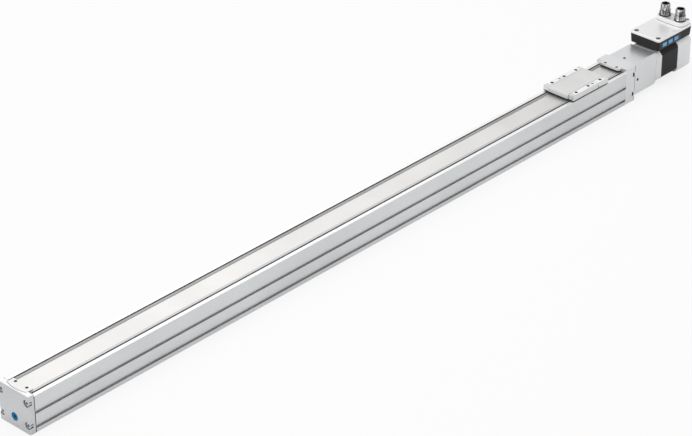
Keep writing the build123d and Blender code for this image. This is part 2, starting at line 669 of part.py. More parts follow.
def lock_nut():
    """The slotted nut that clamps the bearings' inner rings against the screw's shoulder."""
    body = rod_x(X_LOCK, X_LOCK + LOCK_NUT_L, LOCK_NUT_D / 2)
    body -= rod_x(X_LOCK - OVERCUT, X_LOCK + LOCK_NUT_L + OVERCUT, FIXED_D / 2 + FIT)
    for angle in (0, 90, 180, 270):
        notch = block((X_LOCK + LOCK_NUT_L / 2, X_LOCK + LOCK_NUT_L + OVERCUT), (-1.5, 1.5),
                      (LOCK_NUT_D / 2 - 1.2, LOCK_NUT_D))
        body -= Pos(0, 0, AXIS_Z) * Rot(angle, 0, 0) * notch
    return body


def ball_screw():
    """The screw with its turned ends; the ball track is too fine for this model."""
    shoulder = X_LOCK - 2 * FIXED_W
    near = X0 + OVERCUT * 2
    body = rod_x(near, shoulder, SCREW_D / 2)
    body += rod_x(X0 - FLOAT_W, near, FLOAT_D / 2)
    step = X_LOCK + LOCK_NUT_L
    body += rod_x(shoulder, step, FIXED_D / 2)
    body += rod_x(step, X_SPIDER, TAIL_D / 2)
    return body


def housing_screw_points():
    """Y and Z of the four screws between the drive cover and the coupling housing."""
    y = HOUSING_SCREW_R * math.cos(math.radians(HOUSING_SCREW_ANGLE))
    z = HOUSING_SCREW_R * math.sin(math.radians(HOUSING_SCREW_ANGLE))
    return [(sy * y, AXIS_Z + sz * z) for sy in (-1, 1) for sz in (-1, 1)]


def drive_cover():
    """The bearing block at the drive end, with a tongue that reaches over the strip."""
    half = PROFILE_W / 2
    body = block((X1, X_HOUSING), (-half, half), (0, COVER_TOP))
    body = fillet(body.faces().sort_by(Axis.Z)[-1].edges().filter_by(Axis.X), COVER_EDGE * 1.4)
    body = chamfer(body.faces().sort_by(Axis.Z)[0].edges().filter_by(Axis.X), COVER_EDGE / 2)
    body = chamfer(body.faces().sort_by(Axis.X)[-1].edges(), SEAM_EDGE)
    tongue = Pos(X1 - TONGUE_L / 2, 0) * Rectangle(TONGUE_L, 2 * TONGUE_Y)
    tongue = chamfer(tongue.vertices().group_by(Axis.X)[0], TONGUE_CHAMFER)
    tongue += Pos(X1 + OVERCUT / 2, 0) * Rectangle(OVERCUT, 2 * TONGUE_Y)
    body += prism_z(tongue, COVER_TOP - TONGUE_T, COVER_TOP)
    body -= block((X1 - OVERCUT, X1 + CARRIER_TENON), (-CARRIER_Y - FIT, CARRIER_Y + FIT),
                  (PROFILE_H - CARRIER_T, PROFILE_H + FIT))
    bearing_start = X_LOCK - 2 * FIXED_W
    body -= rod_x(bearing_start, X_HOUSING, FIXED_OD / 2 + FIT)
    body -= rod_x(X_LOCK, X_HOUSING + OVERCUT, RETAINER_OD / 2 + FIT)
    body -= rod_x(X1 - OVERCUT, X_HOUSING, SCREW_D / 2 + SEAM)
    for y, z in housing_screw_points():
        body -= rod_x(X1 - OVERCUT, X_HOUSING + OVERCUT, M3_D / 2 + FIT, y, z)
        body -= rod_x(X1 - OVERCUT, X1 + M3_HEAD_H + 2 * FIT, M3_HEAD_D / 2 + FIT, y, z)
    for x, y in tongue_screw_points():
        body -= rod_z(PROFILE_H, COVER_TOP + OVERCUT, M2_D / 2 + FIT, x, y)
        body -= Pos(x, y, COVER_TOP - M2_HEAD_H / 2) * Cone(M2_D / 2 + FIT, M2_HEAD_D / 2 + FIT,
                                                            M2_HEAD_H)
    return end_screw_cuts(body, X_HOUSING, -1, COVER_CBORE_R, COVER_CBORE_DEPTH, COVER_T)


def drive_cover_screws():
    """Four socket screws from the cover's rear face into the profile."""
    length = COVER_T - COVER_CBORE_DEPTH + END_GRIP
    screw = Rot(0, 90, 0) * socket_screw(M4_HEAD_D, M4_HEAD_H, M4_D, length, M4_KEY)
    seat = X_HOUSING - COVER_CBORE_DEPTH
    return group([Pos(seat, y, z) * screw for y, z in end_points()], "drive_cover_screws")


def strip_pad():
    """The spacer that holds the strip down under the tongue."""
    half = STRIP_W / 2
    body = block((X1 - TONGUE_L + PAD_BACK, X1), (-half, half), (STRIP_TOP, COVER_TOP - TONGUE_T))
    for x, y in tongue_screw_points():
        body -= rod_z(STRIP_TOP - OVERCUT, COVER_TOP, M2_D / 2 + FIT, x, y)
    return body


def tongue_screws():
    """The two small screws through the tongue."""
    screw = flat_screw(M2_HEAD_D, M2_HEAD_H, M2_D, COVER_TOP - PROFILE_H + CARRIER_T)
    return group([Pos(x, y, COVER_TOP) * screw for x, y in tongue_screw_points()], "tongue_screws")


def housing_screws():
    """Four screws from inside the drive cover into the coupling housing."""
    seat = X1 + M3_HEAD_H + FIT
    length = COVER_T - M3_HEAD_H - FIT + HOUSING_GRIP
    screw = Rot(0, -90, 0) * socket_screw(M3_HEAD_D, M3_HEAD_H, M3_D, length, M3_KEY)
    return group([Pos(seat, y, z) * screw for y, z in housing_screw_points()], "housing_screws")


def coupling_housing():
    """The square tube round the coupling, with two small holes for the clamp screws' key."""
    body = prism_x(square_section(HOUSING_CHAMFER), X_HOUSING, X_FLANGE)
    body = chamfer(body.faces().sort_by(Axis.X)[0].edges(), SEAM_EDGE)
    body = chamfer(body.faces().sort_by(Axis.X)[-1].edges(), SEAM_EDGE)
    body -= rod_x(X_HOUSING - OVERCUT, X_FLANGE - WEB_T, HOUSING_BORE / 2)
    body -= rod_x(X_HOUSING, X_FLANGE + OVERCUT, PILOT_D / 2 + FIT)
    for y, z in bolt_square():
        body -= rod_x(X_HOUSING - OVERCUT, X_FLANGE + OVERCUT, M3_D / 2 + FIT, y, z)
        body -= rod_x(X_HOUSING - OVERCUT, X_HOUSING + M3_HEAD_H + 2 * FIT, M3_HEAD_D / 2 + FIT, y, z)
    for y, z in housing_screw_points():
        body -= rod_x(X_HOUSING - OVERCUT, X_HOUSING + HOUSING_GRIP + FIT, M3_D / 2 + FIT, y, z)
    station = X_HOUSING + ACCESS_X
    body -= rod_y(-MOTOR_SQ / 2 - OVERCUT, -HOUSING_BORE / 4, ACCESS_D / 2, station, AXIS_Z)
    body -= rod_z(AXIS_Z + HOUSING_BORE / 4, AXIS_Z + MOTOR_SQ, ACCESS_D / 2, station, 0)
    return body


def motor_screws():
    """Four long screws through the coupling housing into the motor's flange."""
    seat = X_HOUSING + M3_HEAD_H + FIT
    length = HOUSING_L - M3_HEAD_H - FIT + BOLT_GRIP
    screw = Rot(0, -90, 0) * socket_screw(M3_HEAD_D, M3_HEAD_H, M3_D, length, M3_KEY)
    return group([Pos(seat, y, z) * screw for y, z in bolt_square()], "motor_screws")


def jaw(angle, start, end):
    """One of a hub's jaws, a sector between the spider's bore and the rim."""
    half = JAW_SPAN / 2
    reach = COUPLING_D
    wedge = make_face(Polyline((0, 0), (reach, -reach * math.tan(math.radians(half))),
                               (reach, reach * math.tan(math.radians(half))), close=True))
    ring = (Circle(COUPLING_D / 2) - Circle(JAW_BORE / 2)) & wedge
    return prism_x(Pos(0, AXIS_Z) * Rot(0, 0, angle) * ring, start, end)


def coupling_hub(start, jaw_end, bore, first_angle):
    """A clamping hub with two jaws, slit along its bore."""
    body = rod_x(start, start + HUB_L, COUPLING_D / 2)
    slit = Pos(0, AXIS_Z - COUPLING_D / 2) * Rectangle(HUB_SLOT, COUPLING_D)
    body -= prism_x(slit, start - OVERCUT, start + HUB_L + OVERCUT)
    body -= rod_x(start - OVERCUT, start + HUB_L + OVERCUT, bore / 2 + FIT)
    jaw_start = start + HUB_L if jaw_end > start + HUB_L else start
    for angle in (first_angle, first_angle + 180):
        body += jaw(angle, *sorted((jaw_start, jaw_end)))
    return body


def spider():
    """The elastic star between the hubs' jaws."""
    wedge_half = (90 - JAW_SPAN) / 2 - 2
    reach = COUPLING_D
    tip = reach * math.tan(math.radians(wedge_half))
    arm = make_face(Polyline((0, 0), (reach, -tip), (reach, tip), close=True)) & Circle(COUPLING_D / 2 - RUN)
    star = Circle(JAW_BORE / 2 - RUN)
    for i in range(4):
        star += Rot(0, 0, 45 + 90 * i) * arm
    star -= Circle(SHAFT_D / 2 + OVERCUT)
    return prism_x(Pos(0, AXIS_Z) * star, X_SPIDER + RUN, X_HUB2 - RUN)


def motor_flange():
    """The motor's thick front flange with its centring pilot and bearing seat."""
    body = prism_x(square_section(FLANGE_CHAMFER), X_FLANGE, X_STATOR)
    body = chamfer(body.faces().sort_by(Axis.X)[-1].edges(), SEAM_EDGE)
    body += rod_x(X_FLANGE - PILOT_L, X_FLANGE, PILOT_D / 2)
    body -= rod_x(X_FLANGE - PILOT_L - OVERCUT, X_STATOR + OVERCUT, SHAFT_D / 2 + SHAFT_GAP)
    body -= rod_x(X_STATOR - MOTOR_BEARING_W, X_STATOR + OVERCUT, MOTOR_BEARING_OD / 2 + FIT)
    for y, z in bolt_square():
        body -= rod_x(X_FLANGE - OVERCUT, X_FLANGE + BOLT_GRIP + FIT, M3_D / 2 + FIT, y, z)
        body -= rod_x(X_STATOR - BOLT_GRIP - FIT, X_STATOR + OVERCUT, M3_D / 2 + FIT, y, z)
    return body


def motor_stator():
    """The laminated stator, a black block bored for the rotor."""
    body = prism_x(square_section(STATOR_CHAMFER), X_STATOR, X_BELL)
    body -= rod_x(X_STATOR - OVERCUT, X_BELL + OVERCUT, ROTOR_D / 2 + AIR_GAP)
    for y, z in bolt_square():
        body -= rod_x(X_STATOR - OVERCUT, X_BELL + OVERCUT, M3_D / 2 + FIT, y, z)
    return body


def rear_bell():
    """The motor's rear housing, which carries the rear bearing."""
    body = prism_x(square_section(BELL_CHAMFER), X_BELL, X_END)
    body = fillet(body.faces().sort_by(Axis.X)[-1].edges(), BELL_EDGE_R)
    body = chamfer(body.faces().sort_by(Axis.X)[0].edges(), SEAM_EDGE)
    body -= rod_x(X_BELL - OVERCUT, X_BELL + MOTOR_BEARING_W, MOTOR_BEARING_OD / 2 + FIT)
    body -= rod_x(X_BELL, X_END - BELL_WALL, SHAFT_D / 2 + OVERCUT)
    for y, z in bolt_square():
        body -= rod_x(X_BELL - OVERCUT, X_END + OVERCUT, M3_D / 2 + FIT, y, z)
        body -= rod_x(X_END - M3_HEAD_H - FIT, X_END + OVERCUT, M3_HEAD_D / 2 + FIT, y, z)
    return body


def bell_screws():
    """The four long screws that hold the motor together, seen at its rear."""
    length = BELL_L - M3_HEAD_H + STATOR_L + BOLT_GRIP
    screw = Rot(0, 90, 0) * socket_screw(M3_HEAD_D, M3_HEAD_H, M3_D, length, M3_KEY)
    return group([Pos(X_END - M3_HEAD_H, y, z) * screw for y, z in bolt_square()], "bell_screws")


def motor_rotor():
    """Rotor and shaft; the shaft's front end sits in the coupling."""
    tail = X_BELL + MOTOR_BEARING_W + OVERCUT
    body = rod_x(X_FLANGE - SHAFT_OUT, tail, SHAFT_D / 2)
    flat = block((X_FLANGE - SHAFT_OUT - 1, X_FLANGE - PILOT_L), (-SHAFT_D, SHAFT_D),
                 (AXIS_Z + SHAFT_D * 0.4, AXIS_Z + SHAFT_D))
    body -= flat
    return body + rod_x(X_STATOR + OVERCUT, X_BELL - OVERCUT, ROTOR_D / 2)


def motor_bearings():
    """The bearings at both ends of the rotor."""
    starts = [X_STATOR - MOTOR_BEARING_W, X_BELL]
    pair = [bearing(x, SHAFT_D, MOTOR_BEARING_OD, MOTOR_BEARING_W) for x in starts]
    return group(pair, "motor_bearings")


def lid_front_points():
    """X and Y of the two screws in the lid's flat front."""
    return [(X_BOX + LID_HOLE_IN, side * (BOX_Y - LID_HOLE_IN)) for side in (-1, 1)]


def lid_rear_points():
    """X and Y of the two long screws through the corners of the lid's platform."""
    return [(X_BOX_END - REAR_HOLE_X, side * (BOX_Y - REAR_HOLE_Y)) for side in (-1, 1)]


def lid_points():
    """X and Y of the lid's four screws."""
    return lid_front_points() + lid_rear_points()


def box_outline(shrink):
    """The electronics box from above, drawn in by the given amount."""
    return Pos(X_BOX_MID, 0) * RectangleRounded(BOX_L - 2 * shrink, 2 * (BOX_Y - shrink),
                                                max(BOX_R - shrink, BOX_R / 4))


def key_stations():
    """X of the three keys."""
    return [X_BOX + KEY_X_FROM_FRONT + KEY_PITCH * i for i in range(3)]


def electronics_housing():
    """The moulded black box: drafted walls, screw posts, a foot on the motor and key windows."""
    draft = math.degrees(math.atan(BOX_DRAFT / (BOX_TOP - BOX_BOTTOM)))
    body = extrude(Plane.XY.offset(BOX_TOP) * box_outline(0), amount=BOX_BOTTOM - BOX_TOP, taper=draft)
    body = fillet(body.faces().sort_by(Axis.Z)[0].edges(), BOX_DRAFT)
    hollow = prism_z(box_outline(BOX_WALL + BOX_DRAFT), BOX_BOTTOM + BOX_FLOOR, BOX_TOP + OVERCUT)
    posts = [rod_z(BOX_BOTTOM + BOX_FLOOR, BOX_TOP, POST_R, x, y) for x, y in lid_points()]
    for post in posts:
        hollow -= post
    body -= hollow
    top = AXIS_Z + MOTOR_SQ / 2
    foot_x = (X_STATOR + X_END) / 2
    body += block((foot_x - FOOT_L / 2, foot_x + FOOT_L / 2), (-FOOT_Y, FOOT_Y), (top, BOX_BOTTOM))
    for x, y in lid_points():
        body -= rod_z(BOX_TOP - LID_SCREW_L, BOX_TOP + OVERCUT, LID_SCREW_D / 2 + FIT, x, y)
    body -= panel_solid(0)
    for x in key_stations():
        body -= rod_y(-BOX_Y, -BOX_Y / 2, KEY_STEM / 2 + KEY_GAP, x, KEY_Z)
        body -= block((x - KEY_L / 2 - KEY_GAP, x + KEY_L / 2 + KEY_GAP),
                      (-BOX_Y, -BOX_Y + PANEL_T + KEY_RIM + KEY_TRAVEL),
                      (KEY_Z - KEY_H / 2 - KEY_GAP, KEY_Z + KEY_H / 2 + KEY_GAP))
    return body


def panel_solid(proud):
    """The key panel's blank: a rounded plate let into the box's side."""
    plate = RectangleRounded(PANEL_L, PANEL_HIGH - PANEL_LOW, 2.0)
    centre = Pos(X_BOX + PANEL_X_FROM_FRONT + PANEL_L / 2, 0, (PANEL_LOW + PANEL_HIGH) / 2)
    depth = BOX_DRAFT + PANEL_T
    return centre * Pos(0, -BOX_Y + depth, 0) * Rot(90, 0, 0) * extrude(plate, amount=depth + proud)


def key_panel():
    """The coloured panel with its three windows."""
    body = panel_solid(0) & panel_skin()
    for x in key_stations():
        body -= block((x - KEY_L / 2 - KEY_GAP, x + KEY_L / 2 + KEY_GAP), (-BOX_Y - OVERCUT, 0),
                      (KEY_Z - KEY_H / 2 - KEY_GAP, KEY_Z + KEY_H / 2 + KEY_GAP))
    return body


def panel_skin():
    """Bounds the panel to the box's own side, so that its face follows the draft."""
    draft = math.degrees(math.atan(BOX_DRAFT / (BOX_TOP - BOX_BOTTOM)))
    return extrude(Plane.XY.offset(BOX_TOP) * box_outline(0), amount=BOX_BOTTOM - BOX_TOP, taper=draft)


def key(x):
    """One push key: a cap in the panel's window on a round stem."""
    back = -BOX_Y + PANEL_T + KEY_RIM
    front = -BOX_Y - KEY_PROUD + BOX_DRAFT / 2
    plate = Pos(x, (front + back) / 2, KEY_Z) * Box(KEY_L, back - front, KEY_H)
    plate = fillet(plate.edges().filter_by(Axis.Y), 1.2)
    plate = chamfer(plate.faces().sort_by(Axis.Y)[0].edges(), KEY_PROUD / 2)
    return plate + rod_y(back, switch_face() - KEY_TRAVEL, KEY_STEM / 2, x, KEY_Z)


def switch_face():
    """Y of the switches' faces on the small upright board."""
    return -BOX_Y + BOX_WALL + BOX_DRAFT + KEY_TRAVEL + SEAM


def switch_board():
    """The upright board behind the keys, with a switch for each."""
    xs = key_stations()
    low, high = BOARD_Z + BOARD_T, BOX_TOP - BOX_FLOOR
    back = switch_face() + SWITCH_T
    start = X_BOX + LID_HOLE_IN + POST_R + SEAM
    body = block((start, xs[-1] + KEY_L / 2), (back, back + BOARD_T), (low, high))
    for x in xs:
        body += rod_y(switch_face(), back, KEY_STEM * 0.6, x, KEY_Z)
    return body


def controller_board():
    """The main circuit board with its largest components, standing on the box's floor."""
    inset = BOX_WALL + BOX_DRAFT + BOARD_GAP
    outline = box_outline(inset)
    for x, y in lid_points():
        outline -= Pos(x, y) * Circle(POST_R + SEAM)
    body = prism_z(outline, BOARD_Z, BOARD_Z + BOARD_T)
    for x, y in ((X_BOX + 14, 8), (X_BOX + 28, 9), (X_BOX + 41, 0)):
        body += rod_z(BOARD_Z + BOARD_T, BOARD_Z + BOARD_T + 5.0, 4.0, x, y)
    for x in (X_BOX_MID - BOX_L / 4, X_BOX_MID + BOX_L / 4):
        for y in (-FOOT_Y / 2, FOOT_Y / 2):
            body += rod_z(BOX_BOTTOM + BOX_FLOOR, BOARD_Z, M3_D, x, y)
    return body


def lid_gasket():
    """The seal between box and lid."""
    ring = box_outline(GASKET_INSET) - box_outline(GASKET_INSET + GASKET_W)
    return prism_z(ring, BOX_TOP, LID_Z)


def electronics_lid():
    """The die-cast lid: a flat front with a raised, rounded platform for the two connectors."""
    body = prism_z(box_outline(0), LID_Z, LID_TOP)
    body = fillet(body.faces().sort_by(Axis.Z)[-1].edges(), LID_EDGE_R)
    front = X_BOX_END - PLATFORM_FRONT
    end = X_BOX_END - SEAM
    plan = Pos((front + end) / 2, 0) * Rectangle(end - front, 2 * PLATFORM_Y)
    plan = fillet(plan.vertices().group_by(Axis.X)[0], PLATFORM_R)
    plan = fillet(plan.vertices().group_by(Axis.X)[-1], BOX_R)
    raised = extrude(Plane.XY.offset(LID_Z + LID_T / 2) * plan, amount=PLATFORM_H + LID_T / 2,
                     taper=PLATFORM_SLOPE)
    raised = fillet(raised.faces().sort_by(Axis.Z)[-1].edges(), LID_EDGE_R)
    body += raised
    for x, y in lid_points():
        body -= rod_z(LID_Z - OVERCUT, PLATFORM_TOP + OVERCUT, LID_SCREW_D / 2 + FIT, x, y)
    for x, y in lid_front_points():
        body -= rod_z(LID_TOP - LID_HEAD_H, PLATFORM_TOP, LID_SEAT_R, x, y)
    for x, y in lid_rear_points():
        body -= rod_z(PLATFORM_TOP - LID_HEAD_H, PLATFORM_TOP + OVERCUT, REAR_SEAT_R, x, y)
    room_plan = offset(plan, -LID_WALL)
    room = extrude(Plane.XY.offset(LID_Z + LID_T / 2) * room_plan,
                   amount=PLATFORM_H + LID_T / 2 - LID_ROOF, taper=PLATFORM_SLOPE)
    room += prism_z(room_plan & box_outline(BOX_WALL + BOX_DRAFT), LID_Z - OVERCUT, LID_Z + LID_T / 2)
    for x, y in lid_points():
        room -= rod_z(LID_Z - 2 * OVERCUT, PLATFORM_TOP, POST_R, x, y)
    body -= room
    for side in (-1, 1):
        body -= rod_z(LID_Z, PLATFORM_TOP + OVERCUT, M12_NECK_R + FIT, CONNECTOR_X, side * CONNECTOR_Y)
    return body


def lid_screws():
    """Four small cap screws in the lid's corners."""
    sizes = (LID_HEAD_D, LID_HEAD_H, LID_SCREW_D)
    short = Pos(0, 0, LID_TOP - LID_HEAD_H) * socket_screw(*sizes, LID_SCREW_L, LID_KEY)
    long = Pos(0, 0, PLATFORM_TOP - LID_HEAD_H) * socket_screw(*sizes, LID_SCREW_L + PLATFORM_H, LID_KEY)
    screws = [Pos(x, y) * short for x, y in lid_front_points()]
    return group(screws + [Pos(x, y) * long for x, y in lid_rear_points()], "lid_screws")


def connector_shell(y):
    """A metal panel connector: sealing seat, hexagon, threaded collar and a neck into the lid."""
    base = PLATFORM_TOP
    hexagon = RegularPolygon(M12_HEX_AF / 2, 6, major_radius=False)
    hex_low = base + M12_SEAT_H
    body = rod_z(base, hex_low, M12_SEAT_R, 0, 0)
    body = chamfer(body.edges().group_by(Axis.Z)[-1], M12_SEAT_H / 3)
    body += prism_z(hexagon, hex_low - OVERCUT, hex_low + M12_HEX_H)
    body += rod_z(hex_low, base + M12_TOP, M12_R, 0, 0)
    body = chamfer(body.edges().group_by(Axis.Z)[-1], M12_LEAD)
    body += rod_z(base - M12_NECK_L, base, M12_NECK_R, 0, 0)
    body -= rod_z(base - M12_NECK_L - OVERCUT, base + M12_TOP + OVERCUT, M12_NECK_BORE_R, 0, 0)
    body -= rod_z(base + M12_INSERT_LOW, base + M12_TOP + OVERCUT, M12_BORE_R, 0, 0)
    return Pos(CONNECTOR_X, y, 0) * body


def connector_insert(y):
    """The insulating insert inside a connector's shell, with its coding key."""
    base = PLATFORM_TOP
    body = rod_z(base + M12_INSERT_LOW, base + M12_INSERT_TOP, M12_BORE_R - FIT / 2, 0, 0)
    body += rod_z(base - M12_NECK_L, base + M12_INSERT_LOW, M12_NECK_BORE_R - FIT / 2, 0, 0)
    notch = block((-0.6, 0.6), (M12_BORE_R - 1.2, M12_BORE_R),
                  (base + M12_INSERT_LOW + OVERCUT, base + M12_INSERT_TOP + OVERCUT))
    return Pos(CONNECTOR_X, y, 0) * (body - notch)


def connector_nut(y):
    """The nut that holds a connector from inside the lid."""
    top = PLATFORM_TOP - LID_ROOF
    nut = prism_z(RegularPolygon(M12_NUT_AF / 2, 6, major_radius=False), top - M12_NUT_H, top)
    nut -= rod_z(top - M12_NUT_H - 1, top + 1, M12_NECK_R + FIT, 0, 0)
    return Pos(CONNECTOR_X, y, 0) * nut


def buffers(face, length, name):
    """Two elastic stops that the inner block meets at the end of its stroke."""
    rods = [rod_x(*sorted((face, face + length)), BUFFER_D / 2, y, BUFFER_Z)
            for y in (-BUFFER_Y, BUFFER_Y)]
    return group(rods, name)


def parts():
    """Every node with its finish."""
    wiper_x = SLIDE_L / 2 - WIPER_INSET
    keys = [key(x) for x in key_stations()]
    near_buffers = buffers(X0, NEAR_RESERVE - STOP_GAP, "near_buffers")
    drive_buffers = buffers(X1, -(DRIVE_RESERVE + NUT_END_ROOM - STOP_GAP), "drive_buffers")
    second_jaw_end = X_SPIDER + SEAM
    return {
        "profile": (profile(), "alu"),
        "end_cap": (end_cap(), "alu"),
        "end_cap_screws": (end_cap_screws(), "steel"),
        "service_plug": (service_plug(), "blue"),
        "strip_clamp": (strip_clamp(), "alu"),
        "strip_clamp_screws": (strip_clamp_screws(), "steel"),
        "cover_carrier": (cover_carrier(), "alu"),
        "cover_strip": (cover_strip(), "steel"),
        "guide_rail": (guide_rail(), "steel"),
        "rail_screws": (rail_screws(), "steel"),
        "floating_bearing": (bearing(X0 - FLOAT_W, FLOAT_D, FLOAT_OD, FLOAT_W), "steel"),
        "near_buffers": (near_buffers, "black"),
        "drive_buffers": (drive_buffers, "black"),
        "drive_cover": (drive_cover(), "alu"),
        "drive_cover_screws": (drive_cover_screws(), "steel"),
        "strip_pad": (strip_pad(), "black"),
        "tongue_screws": (tongue_screws(), "steel"),
        "fixed_bearings": (fixed_bearings(), "steel"),
        "bearing_retainer": (bearing_retainer(), "steel"),
        "housing_screws": (housing_screws(), "steel"),
        "coupling_housing": (coupling_housing(), "alu"),
        "motor_screws": (motor_screws(), "steel"),
        "motor_flange": (motor_flange(), "alu"),
        "motor_stator": (motor_stator(), "black"),
        "rear_bell": (rear_bell(), "alu"),
        "bell_screws": (bell_screws(), "steel"),
        "motor_bearings": (motor_bearings(), "steel"),
        "electronics_housing": (electronics_housing(), "black"),
        "controller_board": (controller_board(), "green"),
        "switch_board": (switch_board(), "green"),
        "lid_gasket": (lid_gasket(), "black"),
        "electronics_lid": (electronics_lid(), "alu"),
        "lid_screws": (lid_screws(), "steel"),
        "key_panel": (key_panel(), "blue"),
        "left_connector": (connector_shell(CONNECTOR_Y), "steel"),
        "right_connector": (connector_shell(-CONNECTOR_Y), "steel"),
        "left_insert": (connector_insert(CONNECTOR_Y), "black"),
        "right_insert": (connector_insert(-CONNECTOR_Y), "black"),
        "left_connector_nut": (connector_nut(CONNECTOR_Y), "steel"),
        "right_connector_nut": (connector_nut(-CONNECTOR_Y), "steel"),
        "slide": (slide(), "alu"),
        "slide_cover": (slide_cover(), "plastic"),
        "near_wiper": (wiper(SLIDE_X - wiper_x), "black"),
        "drive_wiper": (wiper(SLIDE_X + wiper_x), "black"),
        "ball_nut": (ball_nut(), "steel"),
        "nut_screws": (nut_screws(), "steel"),
        "runner_block": (runner_block(), "steel"),
        "runner_caps": (runner_caps(), "black"),
        "runner_screws": (runner_screws(), "steel"),
        "ball_screw": (ball_screw(), "steel"),
        "lock_nut": (lock_nut(), "steel"),
        "screw_hub": (coupling_hub(X_HUB, X_HUB2 - SEAM, TAIL_D, 0), "alu"),
        "motor_hub": (coupling_hub(X_HUB2, second_jaw_end, SHAFT_D, 90), "alu"),
        "coupling_spider": (spider(), "blue"),
        "motor_rotor": (motor_rotor(), "steel"),
        "front_key": (keys[0], "blue"),
        "middle_key": (keys[1], "blue"),
        "rear_key": (keys[2], "blue"),
    }


os.makedirs("parts", exist_ok=True)
for name, (shape, finish) in parts().items():
    shape.label = name
    shape.color = COLOURS[finish]
    export_step(shape, os.path.join("parts", name + ".step"))
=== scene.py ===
import math

import bpy
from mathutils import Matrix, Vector


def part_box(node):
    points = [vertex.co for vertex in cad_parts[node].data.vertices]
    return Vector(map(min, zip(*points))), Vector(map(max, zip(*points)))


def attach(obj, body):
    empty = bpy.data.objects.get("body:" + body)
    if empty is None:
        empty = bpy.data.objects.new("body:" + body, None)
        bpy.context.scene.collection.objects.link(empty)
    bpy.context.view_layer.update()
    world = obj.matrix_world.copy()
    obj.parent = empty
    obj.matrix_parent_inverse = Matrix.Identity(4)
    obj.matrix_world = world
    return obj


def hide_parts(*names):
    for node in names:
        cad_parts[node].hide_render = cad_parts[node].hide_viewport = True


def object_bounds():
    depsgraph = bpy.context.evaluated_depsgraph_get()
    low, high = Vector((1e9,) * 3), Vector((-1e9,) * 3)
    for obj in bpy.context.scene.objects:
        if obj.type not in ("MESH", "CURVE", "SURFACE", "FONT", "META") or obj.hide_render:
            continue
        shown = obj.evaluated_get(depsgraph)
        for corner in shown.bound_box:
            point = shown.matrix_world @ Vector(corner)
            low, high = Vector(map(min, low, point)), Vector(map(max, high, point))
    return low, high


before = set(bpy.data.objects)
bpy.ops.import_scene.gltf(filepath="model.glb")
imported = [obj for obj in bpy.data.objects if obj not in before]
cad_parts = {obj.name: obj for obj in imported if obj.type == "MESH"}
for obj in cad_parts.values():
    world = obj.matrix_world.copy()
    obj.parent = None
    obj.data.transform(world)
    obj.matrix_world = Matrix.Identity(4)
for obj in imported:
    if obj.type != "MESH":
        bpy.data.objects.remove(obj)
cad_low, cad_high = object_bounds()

# Body profile: a 45 mm aluminium extrusion, drawn through a die and clear anodised, an even
# satin grey. The die's lines along it lie 0.3 mm apart in reality and are drawn 1.2 mm apart.
# Painted shade darkens the lower lips of its flank slots, a painted highlight lightens the
# tops of its walls, and painted black shadow fills the near seam.
DIE_LINE, DRAWN_ALONG = 0.0012, (0.01, 1.0, 1.0)
PROFILE_DARK, PROFILE_LIGHT, PROFILE_ROUGH = "#D9DADB", "#E3E4E5", 0.38
# Painted highlight on the wall tops, painted shade in the slots; the black is painted shadow, used in seams
# and under edges.
PAINTED_WALL_HIGHLIGHT, PAINTED_SHADOW_BLACK, SLOT_SHADE = "#F6F6F6", "#2B2B2D", "#B0B1B3"
ON_WALLS, NEAR_SEAM = ("Z", 0.0417, 0.0419), ("X", -0.4605, -0.4606)
UPPER_LIP = ("Z", 0.02165, 0.02155), ("Z", 0.02085, 0.02095)
LOWER_LIP = ("Z", 0.00525, 0.00515), ("Z", 0.00445, 0.00455)
INSIDE_FLANKS = ("Y", -0.02247, -0.0224), ("Y", 0.02247, 0.0224)
FINE_DETAIL, CLOUD_DETAIL, FINE_SHARE, METAL_BUMP = 4.0, 2.0, 0.6, 0.5
METAL_GLOSSIER, METAL_DULLER = 0.04, 0.05


def linear(colour):
    """A linear RGBA colour from an sRGB hex value, by the formula of the sRGB standard."""
    channels = [int(colour[i:i + 2], 16) / 255 for i in (1, 3, 5)]
    return [c / 12.92 if c <= 0.04045 else ((c + 0.055) / 1.055) ** 2.4 for c in channels] + [1.0]


def add_node(material, kind, values=None, links=None, **settings):
    """One more node in a material, with its settings, its socket values and its links."""
    made = material.node_tree.nodes.new(kind)
    for name, value in settings.items():
        setattr(made, name, value)
    for socket, value in (values or {}).items():
        made.inputs[socket].default_value = value
    for socket, source in (links or {}).items():
        material.node_tree.links.new(source, made.inputs[socket])
    return made


def new_material(name):
    """An empty node material."""
    material = bpy.data.materials.new(name)
    material.use_nodes = True
    material.node_tree.nodes.clear()
    return material


def shaded(material, colour, roughness, bump, **values):
    """The shader and output: colour, roughness and height come from nodes, the rest is set."""
    shader = add_node(material, "ShaderNodeBsdfPrincipled",
                      values={name.replace("_", " "): value for name, value in values.items()},
                      links={"Base Color": colour, "Roughness": roughness, "Normal": bump})
    add_node(material, "ShaderNodeOutputMaterial", links={"Surface": shader.outputs[0]})
    return material


def two_tones(material, factor, dark, light, start, end):
    """A ramp from a dark to a light tone between two values of a factor."""
    ramp = add_node(material, "ShaderNodeValToRGB", links={0: factor})
    ramp.color_ramp.elements[0].position, ramp.color_ramp.elements[0].color = start, linear(dark)
    ramp.color_ramp.elements[1].position, ramp.color_ramp.elements[1].color = end, linear(light)
    return ramp.outputs[0]


def zone(material, tone, colour, *planes):
    """Another tone beyond every plane; a plane is an axis, where it starts and where it is full."""
    place = add_node(material, "ShaderNodeTexCoord").outputs["Object"]
    along = add_node(material, "ShaderNodeSeparateXYZ", links={0: place}).outputs
    share = None
    for axis, start, full in planes:
        step = add_node(material, "ShaderNodeMapRange", links={"Value": along[axis]},
                        values={"From Min": start, "From Max": full}).outputs[0]
        share = step if share is None else add_node(material, "ShaderNodeMath", operation="MULTIPLY",
                                                    links={0: share, 1: step}).outputs[0]
    return add_node(material, "ShaderNodeMix", data_type="RGBA", values={7: linear(colour)},
                    links={0: share, 6: tone}).outputs[2]


